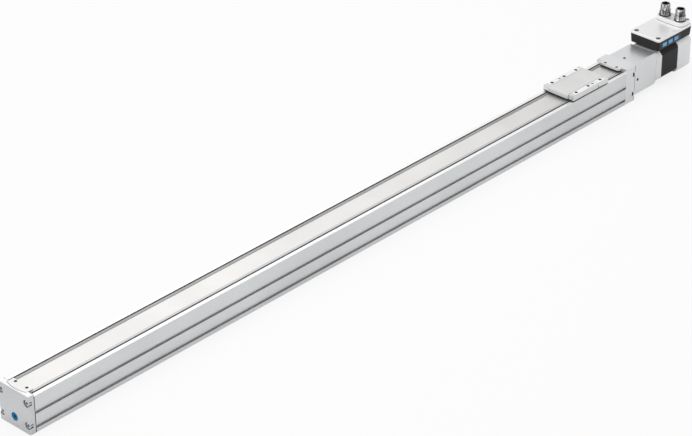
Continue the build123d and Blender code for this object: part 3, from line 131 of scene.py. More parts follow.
def grained_metal(name, dark, light, stretch, grain, rough, metallic=0.8, depth=0.000004, zones=(),
                  spread=(0.55, 1.0), mottle=14.0, **values):
    """A metal whose fine lines run along one axis: tone, gloss and height follow the lines."""
    material = new_material(name)
    place = add_node(material, "ShaderNodeTexCoord").outputs["Object"]
    lines = add_node(material, "ShaderNodeMapping", values={"Scale": stretch}, links={"Vector": place})
    fine = add_node(material, "ShaderNodeTexNoise", values={"Scale": 1 / grain, "Detail": FINE_DETAIL},
                    links={"Vector": lines.outputs[0]}).outputs["Fac"]
    cloud = add_node(material, "ShaderNodeTexNoise", values={"Scale": mottle, "Detail": CLOUD_DETAIL},
                     links={"Vector": place}).outputs["Fac"]
    blend = add_node(material, "ShaderNodeMath", values={1: FINE_SHARE}, operation="MULTIPLY_ADD",
                     links={0: fine, 2: cloud}).outputs[0]
    tone = two_tones(material, blend, dark, light, *spread)
    for wanted in zones:
        tone = zone(material, tone, *wanted)
    gloss = add_node(material, "ShaderNodeMapRange", links={"Value": fine},
                     values={"To Min": rough - METAL_GLOSSIER, "To Max": rough + METAL_DULLER}).outputs[0]
    bump = add_node(material, "ShaderNodeBump", values={"Strength": METAL_BUMP, "Distance": depth},
                    links={"Height": fine}).outputs[0]
    return shaded(material, tone, gloss, bump, Metallic=metallic, **values)


def finish(material, *nodes):
    """Gives CAD nodes their material."""
    for name in nodes:
        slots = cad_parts[name].data.materials
        slots.clear()
        slots.append(material)


finish(grained_metal("anodised_extrusion", PROFILE_DARK, PROFILE_LIGHT, DRAWN_ALONG, DIE_LINE,
                     PROFILE_ROUGH, zones=[(SLOT_SHADE, *UPPER_LIP, *INSIDE_FLANKS),
                                           (SLOT_SHADE, *LOWER_LIP, *INSIDE_FLANKS),
                                           (PAINTED_WALL_HIGHLIGHT, ON_WALLS), (PAINTED_SHADOW_BLACK, NEAR_SEAM)]), "profile")

# Carrier: the flat aluminium extrusion that closes the top between the two gaps. Its ledges
# beside the strip are painted darker than the walls, a painted shade, the left one more than
# the right one.
CARRIER_DARK, CARRIER_LIGHT, CARRIER_ROUGH = "#9C9C9D", "#A9A9AA", 0.42
# The right ledge is painted lighter than the left one, which keeps more painted shade.
RIGHT_LEDGE_LESS_SHADE, RIGHT_SIDE = "#C6C6C7", ("Y", 0.001, -0.001)
finish(grained_metal("carrier_extrusion", CARRIER_DARK, CARRIER_LIGHT, DRAWN_ALONG, DIE_LINE, CARRIER_ROUGH,
                     zones=[(RIGHT_LEDGE_LESS_SHADE, RIGHT_SIDE)]), "cover_carrier")

# Cover strip and its near clamp: stainless steel rolled and brushed along its length, which
# gives a pale satin. Brush marks are 0.05 mm wide in reality and drawn 0.9 mm wide.
STRIP_DARK, STRIP_LIGHT, STRIP_ROUGH = "#DCDBD9", "#E5E4E2", 0.38
BRUSH_MARK, ROLLED_ALONG = 0.0009, (0.008, 1.0, 1.0)
finish(grained_metal("brushed_stainless_strip", STRIP_DARK, STRIP_LIGHT, ROLLED_ALONG, BRUSH_MARK,
                     STRIP_ROUGH), "cover_strip", "strip_clamp")

# End cap: milled from aluminium bar and clear anodised, which gives a soft even grey. The
# cutter leaves marks a few tenths of a millimetre wide across the faces, drawn 1 mm wide here.
# Its top is painted lighter, a painted highlight, and painted black shadow fills the seam to the profile.
CAP_DARK, CAP_LIGHT, CAP_TOP_PAINTED_HIGHLIGHT, CAP_ROUGH = "#CFD0D2", "#DADBDD", "#E6E6E7", 0.4
CUTTER_MARK, MILLED_ACROSS = 0.001, (1.0, 0.25, 1.0)
ON_CAP, CAP_SEAM = ("Z", 0.0434, 0.0438), ("X", -0.4615, -0.4614)
finish(grained_metal("milled_cap", CAP_DARK, CAP_LIGHT, MILLED_ACROSS, CUTTER_MARK, CAP_ROUGH,
                     zones=[(CAP_TOP_PAINTED_HIGHLIGHT, ON_CAP), (PAINTED_SHADOW_BLACK, CAP_SEAM)]), "end_cap")

# Screws of the near cap: M4 socket screws of zinc plated steel, cold headed, with a knurled
# rim and a hexagon socket. They stand in counterbores that break out through the cap's sides.
# The plating is bright; its bloom, some 0.1 mm across in reality, is drawn 1.6 mm across.
ZINC_DARK, ZINC_LIGHT, ZINC_ROUGH, ZINC_BLOOM, EVEN = "#B9BBBE", "#DDDEE0", 0.24, 0.0016, (1.0, 1.0, 1.0)
CAP_SEAT_X, END_Y, END_LOW, END_HIGH = -0.4642, 0.019, 0.0095, 0.0355
M4_HEAD_D, M4_HEAD_H, M4_D, M4_KEY = 0.007, 0.0032, 0.004, 0.003
KNURLS, KNURL_IN, RIM, HEAD_ROUND, SOCKET_FLOOR, SOCKET_ABOVE = 30, 0.955, 0.495, 0.09, 0.45, 1.5
TURN_TO_NEAR, FACING = (0, -math.pi / 2, 0), 0.9
end_places = [(y, z) for y in (-END_Y, END_Y) for z in (END_LOW, END_HIGH)]
zinc_plate = grained_metal("zinc_plated_steel", ZINC_DARK, ZINC_LIGHT, EVEN, ZINC_BLOOM, ZINC_ROUGH,
                           metallic=1.0)


def pick(piece, test):
    """Edit mode with only the faces selected that pass a test of their centre and normal."""
    bpy.ops.object.mode_set(mode="EDIT")
    bpy.ops.mesh.select_mode(type="FACE")
    bpy.ops.mesh.select_all(action="DESELECT")
    bpy.ops.object.mode_set(mode="OBJECT")
    for face in piece.data.polygons:
        face.select = test(face.center, face.normal)
    bpy.ops.object.mode_set(mode="EDIT")


def cylinder(name, radius, low, high, sides):
    """A cylinder about the Z axis, its place in its mesh."""
    bpy.ops.object.select_all(action="DESELECT")
    bpy.ops.mesh.primitive_cylinder_add(vertices=sides, radius=radius, depth=high - low,
                                        location=(0, 0, (low + high) / 2))
    bpy.ops.object.transform_apply(location=True, rotation=True, scale=True)
    bpy.context.object.name = name
    return bpy.context.object


def combine(piece, tool, operation):
    """Cuts a piece with a second solid, or keeps what both share, and removes the second."""
    modifier = piece.modifiers.new("cut", "BOOLEAN")
    modifier.operation, modifier.object, modifier.solver = operation, tool, "EXACT"
    bpy.context.view_layer.objects.active = piece
    bpy.ops.object.modifier_apply(modifier="cut")
    bpy.data.objects.remove(tool, do_unlink=True)


def smooth(piece, degrees=35):
    """Rounded faces shade smoothly, edges sharper than the angle stay crisp."""
    bpy.ops.object.select_all(action="DESELECT")
    piece.select_set(True)
    bpy.context.view_layer.objects.active = piece
    bpy.ops.object.shade_smooth_by_angle(angle=math.radians(degrees))


def knurled_screw(name, head_d, head_h, shank_d, length, key):
    """A socket screw with its head standing on the XY plane and its shank pointing down."""
    screw = cylinder(name, head_d / 2, 0, head_h, KNURLS * 2)
    pick(screw, lambda centre, normal: normal.z > FACING)
    bpy.ops.mesh.bevel(offset=head_h * HEAD_ROUND, segments=2)
    pick(screw, lambda centre, normal: normal.z < -FACING)
    bpy.ops.mesh.inset(thickness=(head_d - shank_d) / 2)
    bpy.ops.mesh.extrude_region_move(TRANSFORM_OT_translate={"value": (0, 0, -length)})
    bpy.ops.mesh.select_mode(type="VERT")
    bpy.ops.mesh.select_all(action="DESELECT")
    bpy.ops.object.mode_set(mode="OBJECT")
    for vertex in screw.data.vertices:
        turn = round(math.atan2(vertex.co.y, vertex.co.x) / math.pi * KNURLS)
        vertex.select = vertex.co.xy.length > head_d * RIM and turn % 2 == 1
    bpy.ops.object.mode_set(mode="EDIT")
    bpy.ops.transform.resize(value=(KNURL_IN, KNURL_IN, 1), center_override=(0, 0, 0))
    bpy.ops.object.mode_set(mode="OBJECT")
    socket = cylinder("key_socket", key / math.sqrt(3), head_h * SOCKET_FLOOR, head_h * SOCKET_ABOVE, 6)
    combine(screw, socket, "DIFFERENCE")
    return screw


def length_below(node, axis, seat, side):
    """How far a node reaches beyond a seat, against the direction in which its heads point."""
    return abs(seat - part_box(node)[side][axis])


def set_out(pattern, places, turn, name):
    """Copies of one piece at its places, each with its own mesh, joined into one piece."""
    copies = []
    for place in places:
        copy = pattern.copy()
        copy.data = pattern.data.copy()
        bpy.context.scene.collection.objects.link(copy)
        copy.location, copy.rotation_euler = place, turn
        copies.append(copy)
    bpy.data.objects.remove(pattern, do_unlink=True)
    bpy.ops.object.select_all(action="DESELECT")
    for copy in copies:
        copy.select_set(True)
    bpy.context.view_layer.objects.active = copies[0]
    bpy.ops.object.transform_apply(location=True, rotation=True, scale=True)
    if len(copies) > 1:
        bpy.ops.object.join()
    joined = bpy.context.object
    joined.name = name
    return joined


def hand_over(piece, material, body, slot, *nodes):
    """Finish, body and the CAD nodes that a new piece stands for; the slot argument is not used."""
    piece.data.materials.clear()
    piece.data.materials.append(material)
    smooth(piece)
    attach(piece, body)
    if nodes:
        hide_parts(*nodes)


cap_screw = knurled_screw("cap_screw", M4_HEAD_D, M4_HEAD_H, M4_D,
                          length_below("end_cap_screws", 0, CAP_SEAT_X, 1), M4_KEY)
cap_screws = set_out(cap_screw, [(CAP_SEAT_X, y, z) for y, z in end_places], TURN_TO_NEAR,
                     "knurled_cap_screws")
hand_over(cap_screws, zinc_plate, "base", "fastener_steel", "end_cap_screws")

# Small countersunk screws of the near clamp and of the drive cover's tongue, and all screws
# inside: alloy steel blackened in hot salts. The thin oxide looks dark grey to black; its
# clouds, a few tenths of a millimetre across in reality, are drawn 1.2 mm across.
OXIDE_DARK, OXIDE_LIGHT, OXIDE_ROUGH, OXIDE_CLOUD = "#2A2A2C", "#444548", 0.35, 0.0012
black_oxide = grained_metal("black_oxide_steel", OXIDE_DARK, OXIDE_LIGHT, EVEN, OXIDE_CLOUD, OXIDE_ROUGH,
                            metallic=0.9)
finish(black_oxide, "strip_clamp_screws", "tongue_screws", "rail_screws", "housing_screws",
       "motor_screws", "nut_screws", "runner_screws")

# Screws of the drive cover: the same M4 socket screws, phosphated and oiled to a matt black,
# sunk from its rear face so that their heads stand in the dark openings at the seam.
COVER_SEAT_X, TURN_TO_DRIVE = 0.4734, (0, math.pi / 2, 0)
PHOSPHATE_DARK, PHOSPHATE_LIGHT, PHOSPHATE_ROUGH = "#121213", "#1C1C1D", 0.6
black_phosphate = grained_metal("phosphated_steel", PHOSPHATE_DARK, PHOSPHATE_LIGHT, EVEN, OXIDE_CLOUD,
                                PHOSPHATE_ROUGH, metallic=0.2, Specular_IOR_Level=0.2)
cover_screw = knurled_screw("cover_screw", M4_HEAD_D, M4_HEAD_H, M4_D,
                            length_below("drive_cover_screws", 0, COVER_SEAT_X, 0), M4_KEY)
cover_screws = set_out(cover_screw, [(COVER_SEAT_X, y, z) for y, z in end_places], TURN_TO_DRIVE,
                       "knurled_cover_screws")
hand_over(cover_screws, black_phosphate, "base", "fastener_steel", "drive_cover_screws")

# Service plug in the cap: injection-moulded acetal in a deep cyan blue, with the dull gloss
# of a spark-eroded mould. The mould's grain is 0.1 mm in reality and drawn 0.7 mm wide.
PLUG_DARK, PLUG_LIGHT, PLUG_ROUGH, PLUG_GRAIN = "#0071AA", "#0083BF", 0.3, 0.0007
PLASTIC_CLOUD, PLASTIC_DETAIL, PLASTIC_SPREAD, PLASTIC_BUMP = 40.0, 3.0, (0.3, 0.7), 0.4
PLASTIC_GLOSSIER, PLASTIC_DULLER = 0.03, 0.05


def moulded(name, dark, light, grain, rough, depth=0.00002, zones=(), **values):
    """Moulded plastic: nearly even colour with a fine pebbled grain."""
    material = new_material(name)
    place = add_node(material, "ShaderNodeTexCoord").outputs["Object"]
    pebbles = add_node(material, "ShaderNodeTexVoronoi", values={"Scale": 1 / grain},
                       links={"Vector": place}).outputs["Distance"]
    cloud = add_node(material, "ShaderNodeTexNoise", links={"Vector": place},
                     values={"Scale": PLASTIC_CLOUD, "Detail": PLASTIC_DETAIL}).outputs["Fac"]
    tone = two_tones(material, cloud, dark, light, *PLASTIC_SPREAD)
    for wanted in zones:
        tone = zone(material, tone, *wanted)
    gloss = add_node(material, "ShaderNodeMapRange", links={"Value": pebbles},
                     values={"To Min": rough - PLASTIC_GLOSSIER, "To Max": rough + PLASTIC_DULLER}).outputs[0]
    bump = add_node(material, "ShaderNodeBump", values={"Strength": PLASTIC_BUMP, "Distance": depth},
                    links={"Height": pebbles}).outputs[0]
    return shaded(material, tone, gloss, bump, **values)


finish(moulded("blue_acetal", PLUG_DARK, PLUG_LIGHT, PLUG_GRAIN, PLUG_ROUGH, Specular_IOR_Level=0.05),
       "service_plug")

# Guide, nut, bearings, lock nut and rotor: hardened steel, ground and oiled, all inside the
# covered profile and the housings. Grinding leaves a bright grey with marks along or round
# the pieces, hundredths of a millimetre wide in reality and drawn 0.9 mm wide.
STEEL_DARK, STEEL_LIGHT, STEEL_ROUGH = "#A6A8AB", "#C6C8CA", 0.22
GRINDING_MARK, LINES_ALONG = 0.0009, (0.02, 1.0, 1.0)
ground_steel = grained_metal("ground_steel", STEEL_DARK, STEEL_LIGHT, LINES_ALONG, GRINDING_MARK,
                             STEEL_ROUGH, metallic=1.0)
finish(ground_steel, "guide_rail", "runner_block", "ball_nut", "floating_bearing",
       "fixed_bearings", "lock_nut", "motor_bearings", "motor_rotor")

# Ball screw: 10 mm shaft with one ball track of 10 mm lead, right-handed like the joint, rolled
# and polished, with ground journals for the bearings and a tail for the coupling.
SCREW_R, BALL_LEAD, TRACK_TURNS, TRACK_STEPS = 0.005, 0.01, 94, 20
SCREW_NEAR, SCREW_SHOULDER, LOCK_NUT_END, AXIS_Z = -0.459, 0.4624, 0.4819, 0.0247
TRACK = [(0.005, 0.0), (0.005, 0.0039), (0.00472, 0.0041), (0.00445, 0.00445), (0.00435, 0.005),
         (0.00445, 0.00555), (0.00472, 0.0059), (0.005, 0.0061), (0.005, 0.01)]
FLOAT_JOURNAL_R, FIXED_JOURNAL_R, TAIL_R, JOURNAL_CHAMFER, JOURNAL_SIDES = 0.003, 0.004, 0.003, 0.0004, 48
WELD = 0.000002


def turned(name, outline, sides, ring=True):
    """A turned piece: a circle drawn along radii and heights, round to its start or as a shaft."""
    bpy.ops.object.select_all(action="DESELECT")
    radius, height = outline[0]
    bpy.ops.mesh.primitive_circle_add(vertices=sides, radius=radius, location=(0, 0, height),
                                      fill_type="NOTHING" if ring else "NGON")
    bpy.ops.object.transform_apply(location=True, rotation=True, scale=True)
    piece = bpy.context.object
    piece.name = name
    bpy.ops.object.mode_set(mode="EDIT")
    bpy.ops.mesh.select_all(action="SELECT")
    for new_radius, new_height in outline[1:] + (outline[:1] if ring else []):
        bpy.ops.mesh.extrude_region_move(TRANSFORM_OT_translate={"value": (0, 0, new_height - height)})
        scale = new_radius / radius
        bpy.ops.transform.resize(value=(scale, scale, 1), center_override=(0, 0, new_height))
        radius, height = new_radius, new_height
    bpy.ops.mesh.select_all(action="SELECT")
    bpy.ops.mesh.remove_doubles(threshold=WELD)
    bpy.ops.mesh.normals_make_consistent(inside=False)
    bpy.ops.object.mode_set(mode="OBJECT")
    return piece


def join(*pieces):
    """One object from several."""
    bpy.ops.object.select_all(action="DESELECT")
    for piece in pieces:
        piece.select_set(True)
    bpy.context.view_layer.objects.active = pieces[0]
    bpy.ops.object.join()
    return pieces[0]


def track_shaft():
    """The track's outline over one lead, swept along the helix and cut square at both ends."""
    bpy.ops.object.select_all(action="DESELECT")
    bpy.ops.mesh.primitive_plane_add(size=SCREW_R)
    shaft = bpy.context.object
    bpy.ops.object.mode_set(mode="EDIT")
    bpy.ops.mesh.select_all(action="SELECT")
    bpy.ops.mesh.merge(type="CENTER")
    start = (SCREW_NEAR + SCREW_SHOULDER - BALL_LEAD * TRACK_TURNS) / 2
    bpy.ops.transform.translate(value=(TRACK[0][0], 0, start))
    for before, after in zip(TRACK, TRACK[1:]):
        step = (after[0] - before[0], 0, after[1] - before[1])
        bpy.ops.mesh.extrude_region_move(TRANSFORM_OT_translate={"value": step})
    bpy.ops.object.mode_set(mode="OBJECT")
    sweep = shaft.modifiers.new("helix", "SCREW")
    sweep.axis, sweep.angle, sweep.screw_offset = "Z", 2 * math.pi, BALL_LEAD
    sweep.iterations, sweep.steps, sweep.render_steps = TRACK_TURNS, TRACK_STEPS, TRACK_STEPS
    bpy.ops.object.modifier_apply(modifier="helix")
    bpy.ops.object.mode_set(mode="EDIT")
    bpy.ops.mesh.select_all(action="SELECT")
    bpy.ops.mesh.remove_doubles(threshold=WELD)
    for height, outer in ((SCREW_NEAR, False), (SCREW_SHOULDER, True)):
        bpy.ops.mesh.select_all(action="SELECT")
        bpy.ops.mesh.bisect(plane_co=(0, 0, height), plane_no=(0, 0, 1), use_fill=True,
                            clear_outer=outer, clear_inner=not outer)
    bpy.ops.mesh.select_all(action="SELECT")
    bpy.ops.mesh.normals_make_consistent(inside=False)
    bpy.ops.object.mode_set(mode="OBJECT")
    return shaft


near_end, tail_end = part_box("ball_screw")[0].x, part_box("ball_screw")[1].x
near_journal = turned("near_journal", [(FLOAT_JOURNAL_R - JOURNAL_CHAMFER, near_end),
                                       (FLOAT_JOURNAL_R, near_end + JOURNAL_CHAMFER),
                                       (FLOAT_JOURNAL_R, SCREW_NEAR + JOURNAL_CHAMFER)],
                      JOURNAL_SIDES, ring=False)
drive_journal = turned("drive_journal", [(FIXED_JOURNAL_R, SCREW_SHOULDER - JOURNAL_CHAMFER),
                                         (FIXED_JOURNAL_R, LOCK_NUT_END - JOURNAL_CHAMFER),
                                         (FIXED_JOURNAL_R - JOURNAL_CHAMFER, LOCK_NUT_END),
                                         (TAIL_R, LOCK_NUT_END), (TAIL_R, tail_end - JOURNAL_CHAMFER),
                                         (TAIL_R - JOURNAL_CHAMFER, tail_end)], JOURNAL_SIDES, ring=False)
ball_screw = set_out(join(track_shaft(), near_journal, drive_journal), [(0, 0, AXIS_Z)], TURN_TO_DRIVE,
                     "tracked_ball_screw")
hand_over(ball_screw, ground_steel, "screw", "bearing_steel", "ball_screw")

# Buffers, gasket and strip pad: black nitrile rubber, pressed in a mould. It looks matt and
# slightly mottled; the mould's grain is 0.2 mm wide in reality and drawn 1.2 mm wide.
NITRILE_DARK, NITRILE_LIGHT, NITRILE_ROUGH, NITRILE_GRAIN = "#1B1B1C", "#242425", 0.7, 0.0012
black_nitrile = moulded("black_nitrile", NITRILE_DARK, NITRILE_LIGHT, NITRILE_GRAIN, NITRILE_ROUGH,
                        Specular_IOR_Level=0.3)
finish(black_nitrile, "near_buffers", "drive_buffers", "lid_gasket", "strip_pad")

# Wipers: strips punched from pressed wool felt and held at both ends of the slide, where they
# keep dust off the cover strip. Pressing leaves a dull grey nap of fibre tufts 0.5 mm across.
FELT_DARK, FELT_LIGHT, FELT_ROUGH, FELT_TUFT, FELT_DEPTH = "#56565A", "#6E6E72", 0.9, 0.0005, 0.0001
finish(moulded("wool_felt", FELT_DARK, FELT_LIGHT, FELT_TUFT, FELT_ROUGH, FELT_DEPTH),
       "near_wiper", "drive_wiper")

# Coupling spider: polyurethane cast in blue, with the mould's smooth skin and a soft gloss.
# Runner caps: nylon moulded in dark grey, a little duller. Both are out of sight, and the
# grain of their moulds is drawn 0.8 mm wide like that of the other plastics.
SPIDER_DARK, SPIDER_LIGHT, SPIDER_ROUGH, MOULD_GRAIN = "#1C3F96", "#2248A4", 0.4, 0.0008
NYLON_DARK, NYLON_LIGHT, NYLON_ROUGH = "#2C2D2F", "#38393B", 0.45
finish(moulded("blue_polyurethane", SPIDER_DARK, SPIDER_LIGHT, MOULD_GRAIN, SPIDER_ROUGH), "coupling_spider")
finish(moulded("runner_nylon", NYLON_DARK, NYLON_LIGHT, MOULD_GRAIN, NYLON_ROUGH), "runner_caps")

# Rings round the cap screws: black rubber rings that stand for the shade in the counterbores, a
# painted shade. They end with the cap's flanks, where the counterbores break out.
RING_IN, RING_OUT, RING_HIGH, RING_CHAMFER, RING_SIDES = 0.00352, 0.00405, 0.0027, 0.0002, 48
BETWEEN_FLANKS = (-0.48, -0.0224, 0.0), (-0.45, 0.0224, 0.045)


def block(name, low, high):
    """A box between two corners, to cut with or to shape further."""
    bpy.ops.object.select_all(action="DESELECT")
    bpy.ops.mesh.primitive_cube_add(size=1, location=[(a + b) / 2 for a, b in zip(low, high)])
    bpy.context.object.scale = [b - a for a, b in zip(low, high)]
    bpy.ops.object.transform_apply(location=True, rotation=True, scale=True)
    bpy.context.object.name = name
    return bpy.context.object


ring = turned("cap_ring", [(RING_IN, 0), (RING_OUT, 0), (RING_OUT, RING_HIGH - RING_CHAMFER),
                           (RING_OUT - RING_CHAMFER, RING_HIGH), (RING_IN, RING_HIGH)], RING_SIDES)
cap_rings = set_out(ring, [(CAP_SEAT_X, y, z) for y, z in end_places], TURN_TO_NEAR, "cap_screw_rings")
combine(cap_rings, block("between_flanks", *BETWEEN_FLANKS), "INTERSECT")
hand_over(cap_rings, black_nitrile, "base", "black_rubber")

# Bead in the curved seam between the cap and the strip clamp: black rubber, nearly flush with
# the top, that stands for the seam's shadow line, a painted shadow.
ARC_R, ARC_X, BEAD_HALF, BEAD_Z = 0.0406, -0.4256, 0.0003, 0.0434
BEAD_HIGH, BEAD_CROWN, BEAD_SIDES = 0.0006, 0.00064, 360
AT_THE_ARC, UPRIGHT = ((-0.47, -0.0143, 0.04), (-0.4636, 0.0143, 0.05)), (0, 0, 0)
bead = turned("clamp_bead", [(ARC_R - BEAD_HALF, 0), (ARC_R + BEAD_HALF, 0),
                             (ARC_R + BEAD_HALF, BEAD_HIGH), (ARC_R, BEAD_CROWN),
                             (ARC_R - BEAD_HALF, BEAD_HIGH)], BEAD_SIDES)
bead = set_out(bead, [(ARC_X, 0, BEAD_Z)], UPRIGHT, "clamp_seam_bead")
combine(bead, block("at_the_arc", *AT_THE_ARC), "INTERSECT")
hand_over(bead, black_nitrile, "base", "black_rubber")

# Slide: an aluminium extrusion, anodised to a pale satin, with its screw pads milled bright
# afterwards. The pads lie 0.3 mm above the rest of the rails, so the tone goes by height.
# Its lower edge is painted black as a painted shadow line. Its fine lines are drawn 1 mm wide.
SLIDE_DARK, SLIDE_LIGHT, SLIDE_ROUGH, PAD_BRIGHT = "#DFE0E1", "#E9EAEA", 0.34, "#FFFFFF"
ON_PADS, UNDER_SLIDE = ("Z", 0.04985, 0.04995), ("Z", 0.04395, 0.04385)
finish(grained_metal("anodised_slide_with_milled_pads", SLIDE_DARK, SLIDE_LIGHT, LINES_ALONG,
                     CUTTER_MARK, SLIDE_ROUGH,
                     zones=[(PAD_BRIGHT, ON_PADS), (PAINTED_SHADOW_BLACK, UNDER_SLIDE)]), "slide")

# Thread inserts: wire threads of black steel, wound and then screwed into the slide's six screw
# holes, so that screws which are often driven don't wear the aluminium. Their pitch is 0.8 mm.
INSERT_R, INSERT_ROOT_R, INSERT_CREST_R, INSERT_PITCH, INSERT_TURNS = 0.002, 0.00195, 0.0016, 0.0008, 7
INSERT_TOP, INSERT_SIDES, HOLE_Y, HOLE_STEP, SLIDE_X = 0.0496, 32, 0.018, 0.022, 0.3935
insert_low = INSERT_TOP - INSERT_PITCH * INSERT_TURNS
insert_outline = [(INSERT_R, insert_low), (INSERT_R, INSERT_TOP), (INSERT_ROOT_R, INSERT_TOP)]
for turn in range(INSERT_TURNS):
    crest = INSERT_TOP - INSERT_PITCH * (turn + 0.5)
    insert_outline += [(INSERT_CREST_R, crest), (INSERT_ROOT_R, crest - INSERT_PITCH / 2)]
thread_inserts = set_out(turned("thread_insert", insert_outline, INSERT_SIDES),
                         [(SLIDE_X + step * HOLE_STEP, side * HOLE_Y, 0) for side in (-1, 1)
                          for step in (-1, 0, 1)], UPRIGHT, "slide_thread_inserts")
hand_over(thread_inserts, black_oxide, "carriage", "fastener_steel")

# Pocket plates: a bright aluminium plate, rolled, that slopes outwards in the long pocket of each
# of the slide's flanks and catches the light there; its white tone adds a painted highlight. A
# black rubber backing stands for the shade in the pocket, a painted shadow that shows as a dark
# line above the plate and at its ends. Rolling marks are drawn 1 mm wide.
POCKET_HALF, POCKET_LOW, POCKET_HIGH = 0.01445, 0.04403, 0.04677
BACKING_BACK, BACKING_FACE, BACKING_ROUND = 0.02152, 0.02162, 0.00008
PLATE_HALF, PLATE_LIP, PLATE_HIGH, PLATE_BACK, PLATE_FACE = 0.014, 0.0443, 0.0461, 0.02164, 0.02245
PLATE_ROUND, AT_THE_EDGE = 0.00005, 0.0001
BRIGHT_DARK, BRIGHT_LIGHT, BRIGHT_ROUGH = "#F6F6F6", "#FFFFFF", 0.4
backing = block("backing", (-POCKET_HALF, BACKING_BACK, POCKET_LOW),
                (POCKET_HALF, BACKING_FACE, POCKET_HIGH))
pick(backing, lambda centre, normal: normal.y > FACING)
bpy.ops.mesh.bevel(offset=BACKING_ROUND, segments=1)
bpy.ops.object.mode_set(mode="OBJECT")
plate = block("plate", (-PLATE_HALF, PLATE_BACK, POCKET_LOW), (PLATE_HALF, PLATE_FACE, PLATE_HIGH))
bpy.ops.object.mode_set(mode="EDIT")
bpy.ops.mesh.select_mode(type="VERT")
bpy.ops.mesh.select_all(action="DESELECT")
bpy.ops.object.mode_set(mode="OBJECT")
for vertex in plate.data.vertices:
    vertex.select = vertex.co.y > PLATE_FACE - AT_THE_EDGE and vertex.co.z > PLATE_HIGH - AT_THE_EDGE
bpy.ops.object.mode_set(mode="EDIT")
bpy.ops.transform.translate(value=(0, 0, PLATE_LIP - PLATE_HIGH))
bpy.ops.mesh.select_all(action="SELECT")
bpy.ops.mesh.bevel(offset=PLATE_ROUND, segments=1)
bpy.ops.object.mode_set(mode="OBJECT")
bright_plate = grained_metal("bright_pocket_plate", BRIGHT_DARK, BRIGHT_LIGHT, LINES_ALONG, CUTTER_MARK,
                             BRIGHT_ROUGH, metallic=0.3)
for pattern, material, name, slot in ((backing, black_nitrile, "pocket_backings", "black_rubber"),
                                      (plate, bright_plate, "pocket_plates", "slide_aluminium")):
    mirrored = pattern.copy()
    mirrored.data = pattern.data.copy()
    bpy.context.scene.collection.objects.link(mirrored)
    left = set_out(mirrored, [(SLIDE_X, 0, 0)], UPRIGHT, "left_" + name)
    right = set_out(pattern, [(SLIDE_X, 0, 0)], (0, 0, math.pi), "right_" + name)
    both = join(left, right)
    both.name = name
    hand_over(both, material, "carriage", slot)

# Slide cover: light grey polyamide, moulded with rounded ends. A fine spark-eroded grain, drawn
# 0.8 mm wide, keeps it matt, and its under-edge is painted black, a painted shadow line.
COVER_DARK, COVER_LIGHT, COVER_ROUGH, UNDER_COVER = "#DEDEDD", "#E5E5E4", 0.42, ("Z", 0.04455, 0.04445)
finish(moulded("light_grey_polyamide", COVER_DARK, COVER_LIGHT, MOULD_GRAIN, COVER_ROUGH,
               zones=[(PAINTED_SHADOW_BLACK, UNDER_COVER)]), "slide_cover")

# Drive cover, coupling housing and the turned parts inside: aluminium bar, milled or turned
# and clear anodised, a light satin grey. Painted black shadow fills the seam behind the
# drive cover, the insides of its screw openings and the edge under its tongue.
BLOCK_DARK, BLOCK_LIGHT, BLOCK_ROUGH, HOUSING_ROUGH = "#E1E2E3", "#EBECED", 0.4, 0.3
UNDER_TONGUE = ("Z", 0.0442, 0.0441), ("X", 0.4608, 0.4606)
IN_OPENINGS = (("X", 0.4732, 0.4733), ("Y", 0.0223, 0.0222), ("Y", -0.0223, -0.0222),
               ("Z", 0.0407, 0.0405), ("Z", 0.0043, 0.0045))
REAR_SEAM = ("X", 0.4772, 0.4774), ("Z", 0.0463, 0.0461)
finish(grained_metal("milled_drive_cover", BLOCK_DARK, BLOCK_LIGHT, MILLED_ACROSS, CUTTER_MARK,
                     BLOCK_ROUGH, zones=[(PAINTED_SHADOW_BLACK, *UNDER_TONGUE), (PAINTED_SHADOW_BLACK, *IN_OPENINGS),
                                         (PAINTED_SHADOW_BLACK, *REAR_SEAM)]), "drive_cover")
finish(grained_metal("milled_housing", BLOCK_DARK, BLOCK_LIGHT, MILLED_ACROSS, CUTTER_MARK,
                     HOUSING_ROUGH),
       "coupling_housing", "bearing_retainer", "screw_hub", "motor_hub")

# Access hole plugs: black rubber plugs with a thin dished flange sit in the two holes through
# which the coupling is tightened, one in the housing's right side and one in its top. Their
# black stands for the shade in the holes, a painted shade.
HOLE_X, HOUSING_HALF, STOPPER_R, STOPPER_L, STOPPER_CHAMFER = 0.485, 0.02115, 0.00129, 0.003, 0.0003
FLANGE_R, FLANGE_HIGH, FLANGE_EDGE = 0.0017, 0.0003, 0.0002
DISH_RIM_R, DISH_R, STOPPER_SIDES = 0.001, 0.0008, 32
for name, place, turn in (("side_access_plug", (HOLE_X, -HOUSING_HALF, AXIS_Z), (math.pi / 2, 0, 0)),
                          ("top_access_plug", (HOLE_X, 0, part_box("coupling_housing")[1].z), UPRIGHT)):
    stopper = turned("stopper", [(STOPPER_R - STOPPER_CHAMFER, -STOPPER_L),
                                 (STOPPER_R, STOPPER_CHAMFER - STOPPER_L), (STOPPER_R, 0), (FLANGE_R, 0),
                                 (FLANGE_R, FLANGE_HIGH / 2), (FLANGE_R - FLANGE_EDGE, FLANGE_HIGH),
                                 (DISH_RIM_R, FLANGE_HIGH), (DISH_R, FLANGE_HIGH / 2)],
                     STOPPER_SIDES, ring=False)
    hand_over(set_out(stopper, [place], turn, name), black_nitrile, "base", "black_rubber")

# Motor castings: the front flange and the rear bell are die-cast aluminium, lacquered silver.
# The casting's skin gives a faint mottle, 3 mm across as in reality.
CAST_DARK, CAST_LIGHT, CAST_ROUGH, CAST_SKIN = "#E6E7E8", "#EFF0F1", 0.42, 0.003
finish(grained_metal("lacquered_casting", CAST_DARK, CAST_LIGHT, EVEN, CAST_SKIN, CAST_ROUGH, metallic=0.7),
       "motor_flange", "rear_bell")

